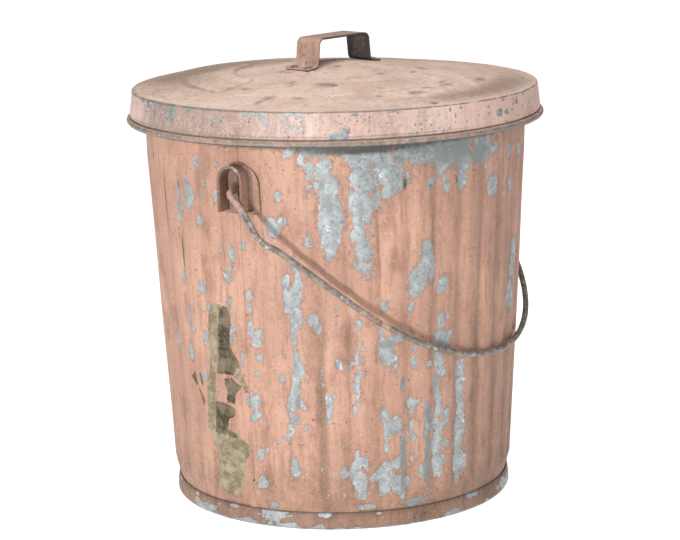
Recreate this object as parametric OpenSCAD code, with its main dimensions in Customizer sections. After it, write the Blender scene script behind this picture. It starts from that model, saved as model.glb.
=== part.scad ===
// Covered metal pail, sold as a trash can: a fluted, tapered can of thin sheet
// steel on a foot ring, a wire bail hooked into two pressed ears, and a loose
// cap lid with a strap handle.
// The origin is the centre of the foot on the floor. +Z is up, the ears lie
// on X, and the bail hangs towards -Y.

/* [Can] */
// Height of the can to the top of its rolled rim
can_h = 404.8; // [360:0.1:460]
// Outer radius of the plain band at the top, and of the flutes' ridges below it
wall_top_r = 186.5; // [180:0.1:188]
// How much narrower the wall is at the foot, over the ridges of its flutes
wall_draft = 16.9; // [8:0.1:24]
// Thickness of the can's and the lid's sheet
sheet = 0.8; // [0.6:0.1:1]
// Diameter of the wire inside the rolled rim
rim_wire_d = 5; // [4:0.1:6]

/* [Flutes] */
// Number of flutes round the wall
flute_count = 39; // [30:1:44]
// Angle of the plain strip beside the wall's lap seam
seam_strip = 3.4; // [2.6:0.1:6]
// Depth of a flute's valley below its ridges
flute_depth = 2.4; // [1:0.1:3]
// Height where the flutes begin
flute_low = 26; // [24:1:40]
// Distance of the flutes' upper end below the top of the rim
flute_stop = 50.8; // [44:0.1:60]
// Length over which a flute's end fades into the plain wall
flute_fade = 14; // [8:1:20]

/* [Foot] */
// Height of the foot band
foot_h = 17; // [15:0.5:20]
// How far the wall steps in to its neck above the foot
neck_step = 4.4; // [2:0.1:6]
// How far the foot band bulges out from the neck
foot_bulge = 2.4; // [2:0.1:4]
// Diameter of the wire in the foot's rolled edge
foot_wire_d = 4.6; // [3.6:0.1:5]
// Width of the flat that wear has left under the foot, measured as its depth
foot_flat = 0.35; // [0.2:0.05:0.6]
// Height of the bottom pan's underside above the floor
pan_z = 13; // [12:0.5:14]

/* [Ears] */
// Distance of the bail's pivot below the top of the rim
pivot_drop = 74.8; // [70:0.1:90]
// Width of the ear's hood
hood_w = 24; // [20:0.5:26]
// Height of the hood's crown above the pivot
hood_rise = 23; // [20:0.5:26]
// Depth of the hood below the pivot
hood_drop = 19; // [12:0.5:22]
// How far the hood stands out from its base plate
hood_depth = 16.5; // [12:0.5:17.5]
// Width of the flange at the hood's sides
ear_flange = 9; // [5:0.5:10]
// Width of the flange over the hood's crown
ear_flange_high = 1.5; // [1:0.5:6]
// Width of the flange under the hood's sides
ear_tail = 5; // [3:0.5:8]
// Thickness of the ear's sheet
ear_sheet = 1.2; // [1:0.1:1.6]

/* [Bail] */
// Diameter of the bail's wire
bail_d = 6; // [5:0.1:7]
// Inside radius of the elbow where an arm leaves its pin
elbow_in = 4; // [3:0.5:5]
// Straight stretch of the arm below the elbow
arm_l = 9; // [4:1:14]
// Angle by which the arm's shoulder leans outward
lean_out = 20; // [10:1:24]
// Angle by which the shoulder turns back inward
lean_in = 50; // [40:1:56]
// Angle at which the long arm runs in towards the bow
arm_lean = 27; // [22:1:32]
// How far inside the wall's top radius the bail's round bow starts
bow_tuck = 18.5; // [12:0.5:26]
// Room between the bail and the lid's edge when the bail swings over it
bail_room = 1.5; // [1:0.5:4]
// Length of the hook inside the can
hook_l = 8; // [5:1:12]
// Distance of the hook from the wall's outside
hook_in = 11.5; // [11:0.5:16]

/* [Lid] */
// Room between the can's rim and the lid's upper edge
lid_room = 6.5; // [5:0.1:10]
// How much wider the lid is over its lower bead than at its upper edge
skirt_flare = 6; // [5:0.1:8]
// Height of the lid's skirt with its bead
skirt_h = 31.7; // [26:0.1:36]
// Diameter of the wire in the skirt's bead
lid_wire_d = 4.2; // [3.6:0.1:4.6]
// Rise of the lid's cone from its edge to its centre
cone_rise = 24.5; // [18:0.5:28]
// Height of the four pressed panels above the cone
panel_rise = 2.5; // [1.5:0.1:3]
// Radius where the pressed panels start
panel_in = 97; // [80:1:110]
// Width of the plain border outside the pressed panels
panel_border = 52; // [44:1:60]
// Width of the slope round a pressed panel
panel_bevel = 2; // [1:0.5:4]
// Angle that a pressed panel spans
panel_angle = 76; // [60:1:80]
// Angle by which the lid is turned on the can
lid_turn = -14; // [-45:1:45]
// Radius of the flat at the centre of the lid
crown_r = 14; // [8:1:20]
// Depth of the lid panel's flange inside the skirt
lid_flange = 6; // [4:0.5:8]
// Gap between the lid and the can's rim, where it rests
seat_gap = 0.3; // [0.2:0.05:0.4]

/* [Lid handle] */
// Width of the handle's strap
strap_w = 30; // [26:0.5:34]
// Thickness of the strap
strap_t = 1.6; // [1.4:0.1:2]
// Length of the handle over its legs at the top
strap_top = 71.5; // [64:0.5:74]
// Length of the handle over its legs at the bottom
strap_base = 77; // [72:0.5:78]
// Height of the handle above the foot of its legs
strap_h = 28.5; // [22:0.5:34]
// Outer radius of the strap's upper bends
strap_bend = 7; // [5:0.5:9]
// Length of the foot turned outward at each end
strap_foot = 14; // [12:0.5:15]
// Diameter of the rivets' shanks
rivet_d = 4; // [3.5:0.1:4.5]
// Distance between the two rivets of a foot
rivet_gap = 18; // [14:0.5:20]

/* [Hidden] */
$fn = 96;

// Named clearances and small sizes
wire_fit = 0.05;         // between a wire and the curl round it
web = 0.1;               // keeps a curl's bore clear of the sheet it grows from
seam_fit = 0.05;         // between two sheets that are seamed together
pin_fit = 0.4;           // between the bail's pin and its holes
arm_fit = 0.7;           // between the bail's arm and the hood's lip
far = 300;               // reaches past every radius of the can
eps = 0.08;              // keeps one surface strictly inside another

// The wall's height stations and its outer radius over the ridges
wall_foot_r = wall_top_r - wall_draft;
neck_r = wall_foot_r - neck_step;
foot_r = neck_r + foot_bulge;
pivot_z = can_h - pivot_drop;
flute_high = can_h - flute_stop;
neck_z = foot_h + 1;
ridge_low = flute_low + 8;
ridge_high = flute_high - flute_fade;
wall_low = 7;
taper = (wall_top_r - wall_foot_r) / (ridge_high - ridge_low);
function ridge_r(z) =
    z <= neck_z ? neck_r :
    z < ridge_low ? neck_r + (wall_foot_r - neck_r) * (z - neck_z) / (ridge_low - neck_z) :
    z < ridge_high ? wall_foot_r + (z - ridge_low) * taper :
    wall_top_r;

// A curl is a tube of sheet rolled round a wire
rim_curl_r = rim_wire_d / 2 + wire_fit + sheet;
rim_r = wall_top_r + web + rim_wire_d / 2 + wire_fit;
rim_z = can_h - rim_curl_r;
foot_curl_r = foot_wire_d / 2 + wire_fit + sheet;
foot_wire_r = foot_r - foot_curl_r;
foot_wire_z = foot_curl_r - foot_flat;
lid_r = rim_r + rim_curl_r + lid_room;
bead_r = lid_r + skirt_flare;
panel_out = lid_r - panel_border;
bead_curl_r = lid_wire_d / 2 + wire_fit + sheet;
bead_wire_r = bead_r - bead_curl_r;

// The lid rests on the rim, so its heights follow from the can's
slope = cone_rise / lid_r;
lid_edge_z = can_h + seat_gap + sheet - (lid_r - rim_r) * slope;
function cone_z(r) = lid_edge_z + (lid_r - r) * slope;
bead_z = lid_edge_z - skirt_h + bead_curl_r;
neck_skirt_r = bead_wire_r - lid_wire_d / 2 - wire_fit - web;
groove_z = bead_z + bead_curl_r;
skirt_low_r = bead_r - 3.2;
flange_in_r = lid_r - sheet - seam_fit;

// Ears
ear_gap = 0.1;
plate_r = ridge_r(pivot_z) + ear_gap;
hood_x = plate_r + ear_sheet + hood_depth;
lip_l = 1.6;
lip_t = 0.9;
bore_r = bail_d / 2 + pin_fit;
seam_angle = 2.4;
seam_sink = 0.4;

// Bail: the bends and stretches of one arm, in the bail's own plane
bail_r = bail_d / 2;
elbow_r = elbow_in + bail_r;
arm_x = hood_x + bail_r + arm_fit;
lean_r = 25;
lean_l = 25;
shoulder_r = 16;
back_r = 25;
hook_x = wall_top_r - hook_in;
bow_start = wall_top_r - bow_tuck;
swing_r = bail_r + bail_room;
clear_r = max(norm([bead_r + swing_r, bead_z - pivot_z]), norm([lid_r + swing_r, lid_edge_z - pivot_z]));
after_lean = [
    arm_x + lean_r * (1 - cos(lean_out)) + lean_l * sin(lean_out),
    elbow_r + arm_l + lean_r * sin(lean_out) + lean_l * cos(lean_out)
];
after_back = after_lean + [
    shoulder_r * (cos(lean_in) - cos(lean_out)) - back_r * (cos(arm_lean) - cos(lean_in)),
    shoulder_r * (sin(lean_in) + sin(lean_out)) + back_r * (sin(lean_in) - sin(arm_lean))
];
// Straight stretch of the shoulder, which sets the long arm clear of the lid
drop_l = (after_back * [cos(arm_lean), sin(arm_lean)] - clear_r) / sin(lean_in - arm_lean);
arm_start = after_back + drop_l * [-sin(lean_in), cos(lean_in)];
long_l = (arm_start[0] - bow_start) / sin(arm_lean);
bow_r = bow_start / cos(arm_lean);
bail_l = arm_start[1] + long_l * cos(arm_lean) + bow_r * (1 - sin(arm_lean));
// The bow rests on the ridges of the wall, and this is its angle below level
rest_gap = 0.3;
rest_reach = wall_foot_r + (pivot_z - ridge_low) * taper + bail_r + rest_gap;
rest_angle = atan(taper) + acos(rest_reach / (bail_l * norm([1, taper])));
// Each step of the wire is a straight stretch [length], or a bend
// [radius, angle, stretches], whose angle is positive where it turns outward
HOOK = [[hook_l], [elbow_r, 90, 8]];
ARM = [
    [elbow_r, -90, 8], [arm_l],
    [lean_r, lean_out, 3], [lean_l],
    [shoulder_r, -lean_out - lean_in, 8], [drop_l],
    [back_r, lean_in - arm_lean, 3], [long_l],
    [bow_r, arm_lean - 90, 12]
];
wire_sides = 16;

// Lid handle
strap_foot_z = cone_z(strap_base / 2);
strap_z = strap_foot_z + strap_h;
rivet_x = strap_base / 2 + strap_foot * 0.55;
rivet_fit = 0.05;
rivet_head_r = rivet_d * 0.95;
rivet_head_h = rivet_d * 0.4;
rivet_tilt = atan(slope);
rivet_seat_z = cone_z(norm([rivet_x, rivet_gap / 2]));
rivet_play = 0.3;

paint = "#dda893";
paint_dark = "#c59480";
zinc = "#8f9496";
lid_paint = "#cfae9c";

// A ring of round wire
module wire_ring(r, z, d) {
    translate([0, 0, z]) rotate_extrude() translate([r, 0]) circle(d = d);
}

// A layer that follows the wall's outline, from one offset to another
module wall_layer(z0, z1, from, to, angle = 360) {
    stations = concat([z0], [for (z = [neck_z, ridge_low, ridge_high]) if (z > z0 && z < z1) z], [z1]);
    last = len(stations) - 1;
    rotate_extrude(angle = angle) polygon(concat(
        [for (z = stations) [ridge_r(z) + to, z]],
        [for (i = [last:-1:0]) [ridge_r(stations[i]) + from, stations[i]]]
    ));
}

// The fluted stretch: a closed skin of rings, four points to a flute, that
// starts at the lap seam and ends at the plain strip beside it
seam_at = 180;
steps = 4;
points_round = flute_count * steps + 1;
point_pitch = (360 - seam_strip) / (flute_count * steps);
function valley(i) = [0, 0.25, 1, 0.25][i % steps];
function fade(z) = max(0, min(1, (z - flute_low) / flute_fade, (flute_high - z) / flute_fade));
function flute_ring(z, inset) = [
    for (i = [0:points_round - 1])
    let (r = ridge_r(z) - inset - flute_depth * fade(z) * valley(i), a = seam_at + point_pitch * i)
    [r * cos(a), r * sin(a), z]
];
module fluted_skin() {
    overlap = 1;
    up = [neck_z - overlap, neck_z, ridge_low, flute_low + flute_fade,
        flute_high - flute_fade, flute_high - flute_fade / 2, flute_high, flute_high + overlap];
    n = points_round;
    m = len(up);
    rings = concat(
        [for (k = [0:m - 1]) flute_ring(up[k], eps)],
        [for (k = [m - 1:-1:0]) flute_ring(up[k], sheet - eps)]
    );
    polyhedron(
        points = [for (ring = rings) each ring],
        faces = [
            for (k = [0:2 * m - 1], i = [0:n - 1])
            let (a = k * n, b = (k + 1) % (2 * m) * n, j = (i + 1) % n)
            each [[a + i, b + i, b + j], [a + i, b + j, a + j]]
        ]
    );
}

module pivot_bores() {
    for (side = [0, 180]) rotate([0, 0, side])
        translate([hook_x, 0, pivot_z]) rotate([0, 90, 0]) cylinder(r = bore_r, h = far - hook_x);
}

// The can's wall: neck, fluted stretch, plain band and rolled rim, with its lap seam
module side_wall() color(paint) difference() {
    union() {
        wall_layer(wall_low, neck_z, -sheet, 0);
        fluted_skin();
        difference() {
            union() {
                wall_layer(flute_high, rim_z, -sheet, 0);
                translate([0, 0, rim_z]) rotate_extrude() translate([rim_r, 0]) circle(r = rim_curl_r);
            }
            wire_ring(rim_r, rim_z, rim_wire_d + 2 * wire_fit);
        }
        rotate([0, 0, seam_at - seam_angle]) {
            wall_layer(neck_z + 1, pivot_z - hood_drop - ear_tail, -seam_sink, sheet, seam_angle);
            wall_layer(pivot_z + hood_rise + ear_flange_high, rim_z - rim_curl_r - 1, -seam_sink,
                sheet, seam_angle);
        }
    }
    pivot_bores();
}

module rim_wire() color(zinc) wire_ring(rim_r, rim_z, rim_wire_d);

// The bottom: a flat pan whose flange is turned down inside the wall's neck
module bottom_pan() color(zinc) {
    out = neck_r - sheet - seam_fit;
    bend = 4;
    rotate_extrude() polygon([
        [0, pan_z], [out - bend, pan_z], [out - sheet, pan_z - bend + sheet], [out - sheet, wall_low],
        [out, wall_low], [out, pan_z - bend + 2 * sheet], [out - bend + sheet, pan_z + sheet],
        [0, pan_z + sheet]
    ]);
}

// The band round the foot, rolled inward round a wire and worn flat below
module foot_band() color(paint_dark) {
    top = neck_r + seam_fit;
    belly = foot_r - sheet - web;
    difference() {
        union() {
            rotate_extrude() polygon([
                [top, foot_h], [(top + belly) / 2, foot_h * 0.7], [belly, foot_wire_z + sheet],
                [belly, foot_wire_z], [belly + sheet, foot_wire_z], [belly + sheet, foot_h * 0.45],
                [(top + belly) / 2 + sheet, foot_h * 0.75], [top + sheet, foot_h]
            ]);
            translate([0, 0, foot_wire_z]) rotate_extrude()
                translate([foot_wire_r, 0]) circle(r = foot_curl_r);
        }
        wire_ring(foot_wire_r, foot_wire_z, foot_wire_d + 2 * wire_fit);
        translate([0, 0, -foot_curl_r]) cylinder(r = far, h = foot_curl_r);
    }
}

module foot_wire() color(zinc) wire_ring(foot_wire_r, foot_wire_z, foot_wire_d);

// Outline of the ear, a half circle on straight sides
module ear_outline(half, top, bottom) {
    translate([0, top - half]) circle(r = half);
    translate([-half, bottom]) square([2 * half, top - half - bottom]);
}

module hood_block(from, to, grow) {
    translate([from, 0, 0]) rotate([90, 0, 90]) linear_extrude(to - from)
        ear_outline(hood_w / 2 + grow, pivot_z + hood_rise + grow, pivot_z - hood_drop);
}

// Everything inside the wall's outline, beside an ear
module wall_core(grow) {
    low = pivot_z - 2 * hood_drop;
    translate([0, 0, low])
        cylinder(r1 = ridge_r(low) + grow, r2 = wall_top_r + grow, h = ridge_high - low);
    translate([0, 0, ridge_high]) cylinder(r = wall_top_r + grow, h = can_h - ridge_high);
}

// An ear on +X: base plate, hood open to the front and below, and its lip
module ear() color(paint) difference() {
    union() {
        intersection() {
            wall_layer(pivot_z - 2 * hood_drop, pivot_z + 2 * hood_rise, ear_gap, ear_gap + ear_sheet);
            rotate([90, 0, 90]) linear_extrude(far)
                ear_outline(hood_w / 2 + ear_flange, pivot_z + hood_rise + ear_flange_high,
                    pivot_z - hood_drop - ear_tail);
        }
        difference() {
            union() {
                hood_block(plate_r - ear_sheet, hood_x, 0);
                hood_block(hood_x - lip_l, hood_x, lip_t);
            }
            translate([0, 0, -hood_drop]) hood_block(0, far, -ear_sheet);
            hood_block(0, far, -ear_sheet);
            wall_core(ear_gap);
        }
    }
    translate([hook_x, 0, pivot_z]) rotate([0, 90, 0]) cylinder(r = bore_r, h = far - hook_x);
}

module ear_right() ear();
module ear_left() rotate([0, 0, 180]) ear();

// Stations [x, y, heading] along the wire; the heading is measured from +Y
// towards +X, and each step starts where the last one ended
function station(at, step, k) =
    len(step) == 1 ? [at[0] + step[0] * sin(at[2]), at[1] + step[0] * cos(at[2]), at[2]] :
    let (r = step[0] * sign(step[1]), h = at[2] + step[1] * k / step[2])
    [at[0] + r * (cos(at[2]) - cos(h)), at[1] + r * (sin(h) - sin(at[2])), h];
function stretches(step) = len(step) == 1 ? 1 : step[2];
function run(at, steps, i = 0) =
    i == len(steps) ? [at] :
    concat([at], [for (k = [1:1:stretches(steps[i]) - 1]) station(at, steps[i], k)],
        run(station(at, steps[i], stretches(steps[i])), steps, i + 1));

// A wire swept along its stations, as one closed skin
module wire_skin(path) {
    n = wire_sides;
    m = len(path);
    r = bail_r - eps / 2;
    polyhedron(
        points = [
            for (p = path, k = [0:n - 1])
            let (a = 360 * k / n)
            [p[0] + r * cos(a) * cos(p[2]), p[1] - r * cos(a) * sin(p[2]), r * sin(a)]
        ],
        faces = concat(
            [[for (k = [n - 1:-1:0]) k], [for (k = [0:n - 1]) (m - 1) * n + k]],
            [for (i = [0:m - 2], k = [0:n - 1])
                let (j = (k + 1) % n)
                each [[i * n + k, i * n + n + j, i * n + n + k], [i * n + k, i * n + j, i * n + n + j]]]
        )
    );
}

// The bail in its own plane, then hung on the pivot and laid on the can
module bail() color(paint_dark) {
    sink = 0.5;
    elbow_x = arm_x - elbow_r;
    right = run([elbow_x - sink, 0, 90], concat([[sink]], ARM));
    left = [for (i = [len(right) - 2:-1:0]) [-right[i][0], right[i][1], 180 - right[i][2]]];
    translate([0, 0, pivot_z]) rotate([180 + rest_angle, 0, 0]) {
        wire_skin(concat(right, left));
        for (turn = [0, 180]) rotate([0, turn, 0]) {
            wire_skin(run([hook_x, -elbow_r - hook_l, 0], concat(HOOK, [[sink]])));
            translate([hook_x + elbow_r, 0, 0]) rotate([0, 90, 0])
                cylinder(r = bail_r, h = elbow_x - hook_x - elbow_r);
        }
    }
}

// The lid's panel: a shallow cone with four pressed-up sectors and a flange
module cone_shell(lift, thick, r0, r1, angle = 360) {
    rotate_extrude(angle = angle) polygon([
        [r0, cone_z(r0) + lift - thick], [r1, cone_z(r1) + lift - thick],
        [r1, cone_z(r1) + lift], [r0, cone_z(r0) + lift]
    ]);
}

module panel_block(inset, lift, depth) {
    a = inset * 57.3 / panel_in;
    rotate([0, 0, a - panel_angle / 2]) rotate_extrude(angle = panel_angle - 2 * a) polygon([
        [panel_in + inset, cone_z(panel_in) - depth],
        [panel_out - inset, cone_z(panel_out) - depth],
        [panel_out - inset, cone_z(panel_out)],
        [panel_out - inset - panel_bevel, cone_z(panel_out - panel_bevel) + lift],
        [panel_in + inset + panel_bevel, cone_z(panel_in + panel_bevel) + lift],
        [panel_in + inset, cone_z(panel_in)]
    ]);
}

module rivet_holes() {
    for (turn = [0, 180], y = [-rivet_gap / 2, rivet_gap / 2]) rotate([0, 0, turn])
        translate([rivet_x, y, rivet_seat_z]) rotate([0, rivet_tilt, 0])
            cylinder(r = rivet_d / 2 + rivet_fit, h = 4 * strap_foot, center = true);
}

module lid_top() color(lid_paint) rotate([0, 0, lid_turn]) difference() {
    quarter = 90;
    union() {
        difference() {
            union() {
                cone_shell(0, sheet, crown_r, flange_in_r);
                translate([0, 0, cone_z(crown_r) - sheet]) cylinder(r = crown_r, h = sheet);
                for (k = [0:3]) rotate([0, 0, (k + 0.5) * quarter]) panel_block(0, panel_rise, sheet);
            }
            for (k = [0:3]) rotate([0, 0, (k + 0.5) * quarter])
                panel_block(sheet, panel_rise - sheet, 2 * sheet);
        }
        rotate_extrude() translate([flange_in_r - sheet, cone_z(flange_in_r) - lid_flange])
            square([sheet, lid_flange - sheet / 2]);
    }
    rivet_holes();
}

// The lid's skirt: a tapered band with a neck above its rolled bead
module lid_skirt() color(paint) difference() {
    union() {
        rotate_extrude() polygon([
            [lid_r - sheet, lid_edge_z], [skirt_low_r - sheet, groove_z + 2],
            [neck_skirt_r - sheet, groove_z], [neck_skirt_r - sheet, bead_z],
            [neck_skirt_r, bead_z], [neck_skirt_r, groove_z], [skirt_low_r, groove_z + 2],
            [lid_r, lid_edge_z]
        ]);
        translate([0, 0, bead_z]) rotate_extrude() translate([bead_wire_r, 0]) circle(r = bead_curl_r);
    }
    wire_ring(bead_wire_r, bead_z, lid_wire_d + 2 * wire_fit);
}

module lid_wire() color(zinc) wire_ring(bead_wire_r, bead_z, lid_wire_d);

// Side view of the strap's arch, drawn in by a thickness
module arch(inset) {
    hull() for (side = [-1, 1]) {
        translate([side * (strap_top / 2 - strap_bend), strap_z - strap_bend])
            circle(r = strap_bend - inset, $fn = 48);
        translate([side * (strap_base / 2 - inset) - (side > 0 ? 1 : 0), strap_foot_z - strap_t])
            square([1, 1]);
    }
}

// The strap handle: an arch of flat steel with its feet turned outward
module lid_handle() color(lid_paint) rotate([0, 0, lid_turn]) difference() {
    foot_from = strap_base / 2 - 2 * strap_t;
    foot_to = strap_base / 2 + strap_foot;
    lift = 0.1;
    union() {
        difference() {
            translate([0, strap_w / 2, 0]) rotate([90, 0, 0]) linear_extrude(strap_w) difference() {
                arch(0);
                arch(strap_t);
            }
            cone_shell(lift, far, 0, far);
        }
        for (turn = [0, 180]) rotate([0, 0, turn])
            translate([0, strap_w / 2, 0]) rotate([90, 0, 0]) linear_extrude(strap_w) polygon([
                [foot_from, cone_z(foot_from) + lift], [foot_to, cone_z(foot_to) + lift],
                [foot_to, cone_z(foot_to) + lift + strap_t], [foot_from, cone_z(foot_from) + lift + strap_t]
            ]);
    }
    rivet_holes();
}

// Four round-headed rivets, upset under the lid
module handle_rivets() color(zinc) rotate([0, 0, lid_turn]) {
    under = sheet + rivet_play;
    above = strap_t + rivet_play;
    for (turn = [0, 180], y = [-rivet_gap / 2, rivet_gap / 2]) rotate([0, 0, turn])
        translate([rivet_x, y, rivet_seat_z]) rotate([0, rivet_tilt, 0]) {
            translate([0, 0, -under]) cylinder(r = rivet_d / 2, h = under + above);
            translate([0, 0, above]) cylinder(r1 = rivet_head_r, r2 = rivet_head_r * 0.55, h = rivet_head_h);
            translate([0, 0, -under - rivet_head_h / 2]) cylinder(r = rivet_head_r * 0.8, h = rivet_head_h / 2);
        }
}

side_wall();
rim_wire();
bottom_pan();
foot_band();
foot_wire();
ear_left();
ear_right();
bail();
lid_top();
lid_skirt();
lid_wire();
lid_handle();
handle_rivets();
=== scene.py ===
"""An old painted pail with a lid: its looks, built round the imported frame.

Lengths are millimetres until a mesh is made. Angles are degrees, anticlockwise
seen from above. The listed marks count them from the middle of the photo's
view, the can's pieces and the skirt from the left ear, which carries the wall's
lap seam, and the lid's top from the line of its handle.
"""

import logging
from dataclasses import dataclass, field
from enum import Enum
from math import cos, radians, sin

import bpy
import numpy as np
from mathutils import Matrix, Vector


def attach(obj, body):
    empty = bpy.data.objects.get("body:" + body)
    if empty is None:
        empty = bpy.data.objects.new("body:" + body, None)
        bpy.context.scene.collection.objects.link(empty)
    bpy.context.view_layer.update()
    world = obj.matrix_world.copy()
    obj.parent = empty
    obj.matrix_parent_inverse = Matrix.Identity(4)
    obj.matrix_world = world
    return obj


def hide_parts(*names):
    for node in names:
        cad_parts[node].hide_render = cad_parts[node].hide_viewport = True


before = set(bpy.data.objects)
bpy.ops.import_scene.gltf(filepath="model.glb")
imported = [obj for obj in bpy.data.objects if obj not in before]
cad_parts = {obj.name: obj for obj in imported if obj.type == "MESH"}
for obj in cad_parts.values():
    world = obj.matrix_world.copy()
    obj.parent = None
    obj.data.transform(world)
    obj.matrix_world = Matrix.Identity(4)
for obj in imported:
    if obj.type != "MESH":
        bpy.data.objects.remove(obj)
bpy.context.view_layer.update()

log = logging.getLogger("pail")
Pair = tuple[float, float]
Triple = tuple[float, float, float]
Marks = tuple[tuple[float, ...], ...]
MM = 0.001                  # metres in a millimetre
EAR_ANGLE = 180.0           # angle of the left ear from the frame's X axis
VIEW_TURN = -61.0           # turn of the camera's side round the can
VIEW_FROM_EAR = 29.0        # angle from the left ear to the middle of the camera's view
FADE_BEHIND = (105, 165)    # angles from that middle over which a side's dirt fades out
SHARP = 38.0                # angle between two faces past which their edge is sharp


def linear(code: str) -> tuple[float, float, float, float]:
    """Turns an sRGB hex colour into linear light.

    A part up to 0.04045 is divided by 12.92. A larger one has 0.055 added, is
    divided by 1.055 and raised to the power 2.4.

    Args:
        code: six hex digits after a hash sign.
    Returns:
        Red, green, blue and an alpha of one.
    """
    parts = np.array([int(code[k:k + 2], 16) for k in (1, 3, 5)]) / 255
    light = np.where(parts <= 0.04045, parts / 12.92, ((parts + 0.055) / 1.055) ** 2.4)
    return (*map(float, light), 1.0)


def ease(value: np.ndarray, low: float, high: float) -> np.ndarray:
    """Smooth step: 3 t squared minus 2 t cubed, t being the way from low to high."""
    t = np.clip((value - low) / (high - low), 0, 1)
    return t * t * (3 - 2 * t)


def around(angle: np.ndarray) -> np.ndarray:
    """Brings an angle into the range from -180 to 180 degrees."""
    return (angle + 180) % 360 - 180


def flank(side: np.ndarray, start: float, end: float) -> np.ndarray:
    """Rises from 0 to 1 between two angles to one side, and fades out behind the can."""
    return ease(side, start, end) * (1 - ease(side, *FADE_BEHIND))


def sway(angle: np.ndarray, along: np.ndarray, length: float, seed: int) -> np.ndarray:
    """A gentle unevenness: a third of the sum of eight products, each of a cosine
    wave round a piece and a cosine wave along it.

    Args:
        angle: degrees round the piece.
        along: millimetres along it.
        length: the scale of the waves along it, which are 2 to 10 times as long.
        seed: seed of the waves' phases.
    Returns:
        Values from about -1 to 1, with the shape of the two arrays together.
    """
    draw = np.random.default_rng(seed)
    total = 0.0
    for turns in range(1, 9):
        phase = draw.uniform(0, 2 * np.pi, 2)
        wave = 2 * np.pi * along / (length * (1 + 9 / turns))
        total = total + np.cos(np.radians(angle) * turns * 2 + phase[0]) * np.cos(wave + phase[1])
    return total / 3


@dataclass
class Skin:
    """A closed surface: its points, its faces and what is stored at each point."""

    points: np.ndarray
    quads: np.ndarray
    triangles: np.ndarray
    values: dict[str, np.ndarray] = field(default_factory=dict)

    def outward(self) -> "Skin":
        """Turns the faces outward: the sum of a x (b x c) over them is then positive."""
        faces = np.concatenate([self.quads[:, [0, 1, 2]], self.quads[:, [0, 2, 3]], self.triangles])
        a, b, c = (self.points[faces[:, k]] for k in range(3))
        if np.einsum("ij,ij->", a, np.cross(b, c)) < 0:
            self.quads, self.triangles = self.quads[:, ::-1], self.triangles[:, ::-1]
        return self

    def placed(self, matrix: Matrix) -> "Skin":
        """Moves the points by a matrix, whose shift is in millimetres."""
        turn = np.array(matrix)
        self.points = self.points @ turn[:3, :3].T + turn[:3, 3]
        return self


def skin_of(grid: np.ndarray, ring: bool, **values: np.ndarray) -> Skin:
    """Makes a closed surface of a grid whose columns run round.

    Args:
        grid: rows by columns by 3.
        ring: True if the rows run round too; otherwise the first and the last
            row are closed by a fan to their mean point.
        **values: one for each stored value, of a shape that spreads to rows by columns.
    Returns:
        The surface, facing outward.
    """
    rows, columns = grid.shape[:2]
    here = np.arange(rows * columns).reshape(rows, columns)
    beside = np.roll(here, -1, axis=1)
    points = grid.reshape(-1, 3)
    stored = {name: np.broadcast_to(v, (rows, columns)).reshape(-1) for name, v in values.items()}
    triangles = np.zeros((0, 3), int)
    if ring:
        low, high = (here, beside), (np.roll(here, -1, axis=0), np.roll(beside, -1, axis=0))
    else:
        low, high = (here[:-1], beside[:-1]), (here[1:], beside[1:])
        count = rows * columns
        triangles = np.concatenate([
            np.stack([np.full(columns, count), beside[0], here[0]], -1),
            np.stack([np.full(columns, count + 1), here[-1], beside[-1]], -1),
        ])
        points = np.concatenate([points, grid[[0, -1]].mean(axis=1)])
        stored = {name: np.concatenate([v, v[[0, -1]]]) for name, v in stored.items()}
    quads = np.stack([low[0], low[1], high[1], high[0]], -1).reshape(-1, 4)
    return Skin(points, quads, triangles, stored).outward()


def revolved(radius: np.ndarray, height: np.ndarray, angle: np.ndarray) -> np.ndarray:
    """Carries a profile round the axis: x = r cos a, y = r sin a, z = h.

    Args:
        radius, height: one for each row, or rows by columns.
        angle: degrees from the X axis, one for each column or rows by columns.
    Returns:
        Rows by columns by 3.
    """
    radius, height, angle = np.broadcast_arrays(
        *(np.atleast_2d(a) if a.ndim > 1 else a[:, None] for a in (radius, height)),
        np.radians(angle if angle.ndim > 1 else angle[None, :]),
    )
    return np.stack([radius * np.cos(angle), radius * np.sin(angle), height], -1)


def bow(centre: Pair, radius: float, start: float, end: float, count: int) -> np.ndarray:
    """Points on an arc of a profile, by cosine and sine from start to end."""
    turn = np.radians(np.linspace(start, end, count))
    return np.stack([centre[0] + radius * np.cos(turn), centre[1] + radius * np.sin(turn)], -1)


def rounded(corners: list[Pair], bends: list[float], count: int = 8) -> np.ndarray:
    """Rounds the inner corners of an open line, each by an arc tangent to both sides.

    The arc's centre lies on the line that halves the corner, as far from it as
    the radius divided by the sine of half the corner's angle.

    Args:
        corners: the line's points.
        bends: an arc's radius for each inner corner.
        count: points on each arc.
    Returns:
        The rounded line's points.
    """
    line = [np.array(corners[0], float)]
    for before, corner, after, bend in zip(corners, corners[1:], corners[2:], bends):
        corner = np.array(corner, float)
        back, on = (np.array(p, float) - corner for p in (before, after))
        back, on = back / np.linalg.norm(back), on / np.linalg.norm(on)
        half = np.arccos(np.clip(back @ on, -1, 1)) / 2
        centre = corner + (back + on) / np.linalg.norm(back + on) * bend / np.sin(half)
        start, end = (corner + side * bend / np.tan(half) - centre for side in (back, on))
        share = np.linspace(0, 1, count)[:, None]
        swing = np.pi - 2 * half
        arc = start * np.sin((1 - share) * swing) + end * np.sin(share * swing)
        line.extend(centre + arc / np.sin(swing))
    line.append(np.array(corners[-1], float))
    return np.array(line)


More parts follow.
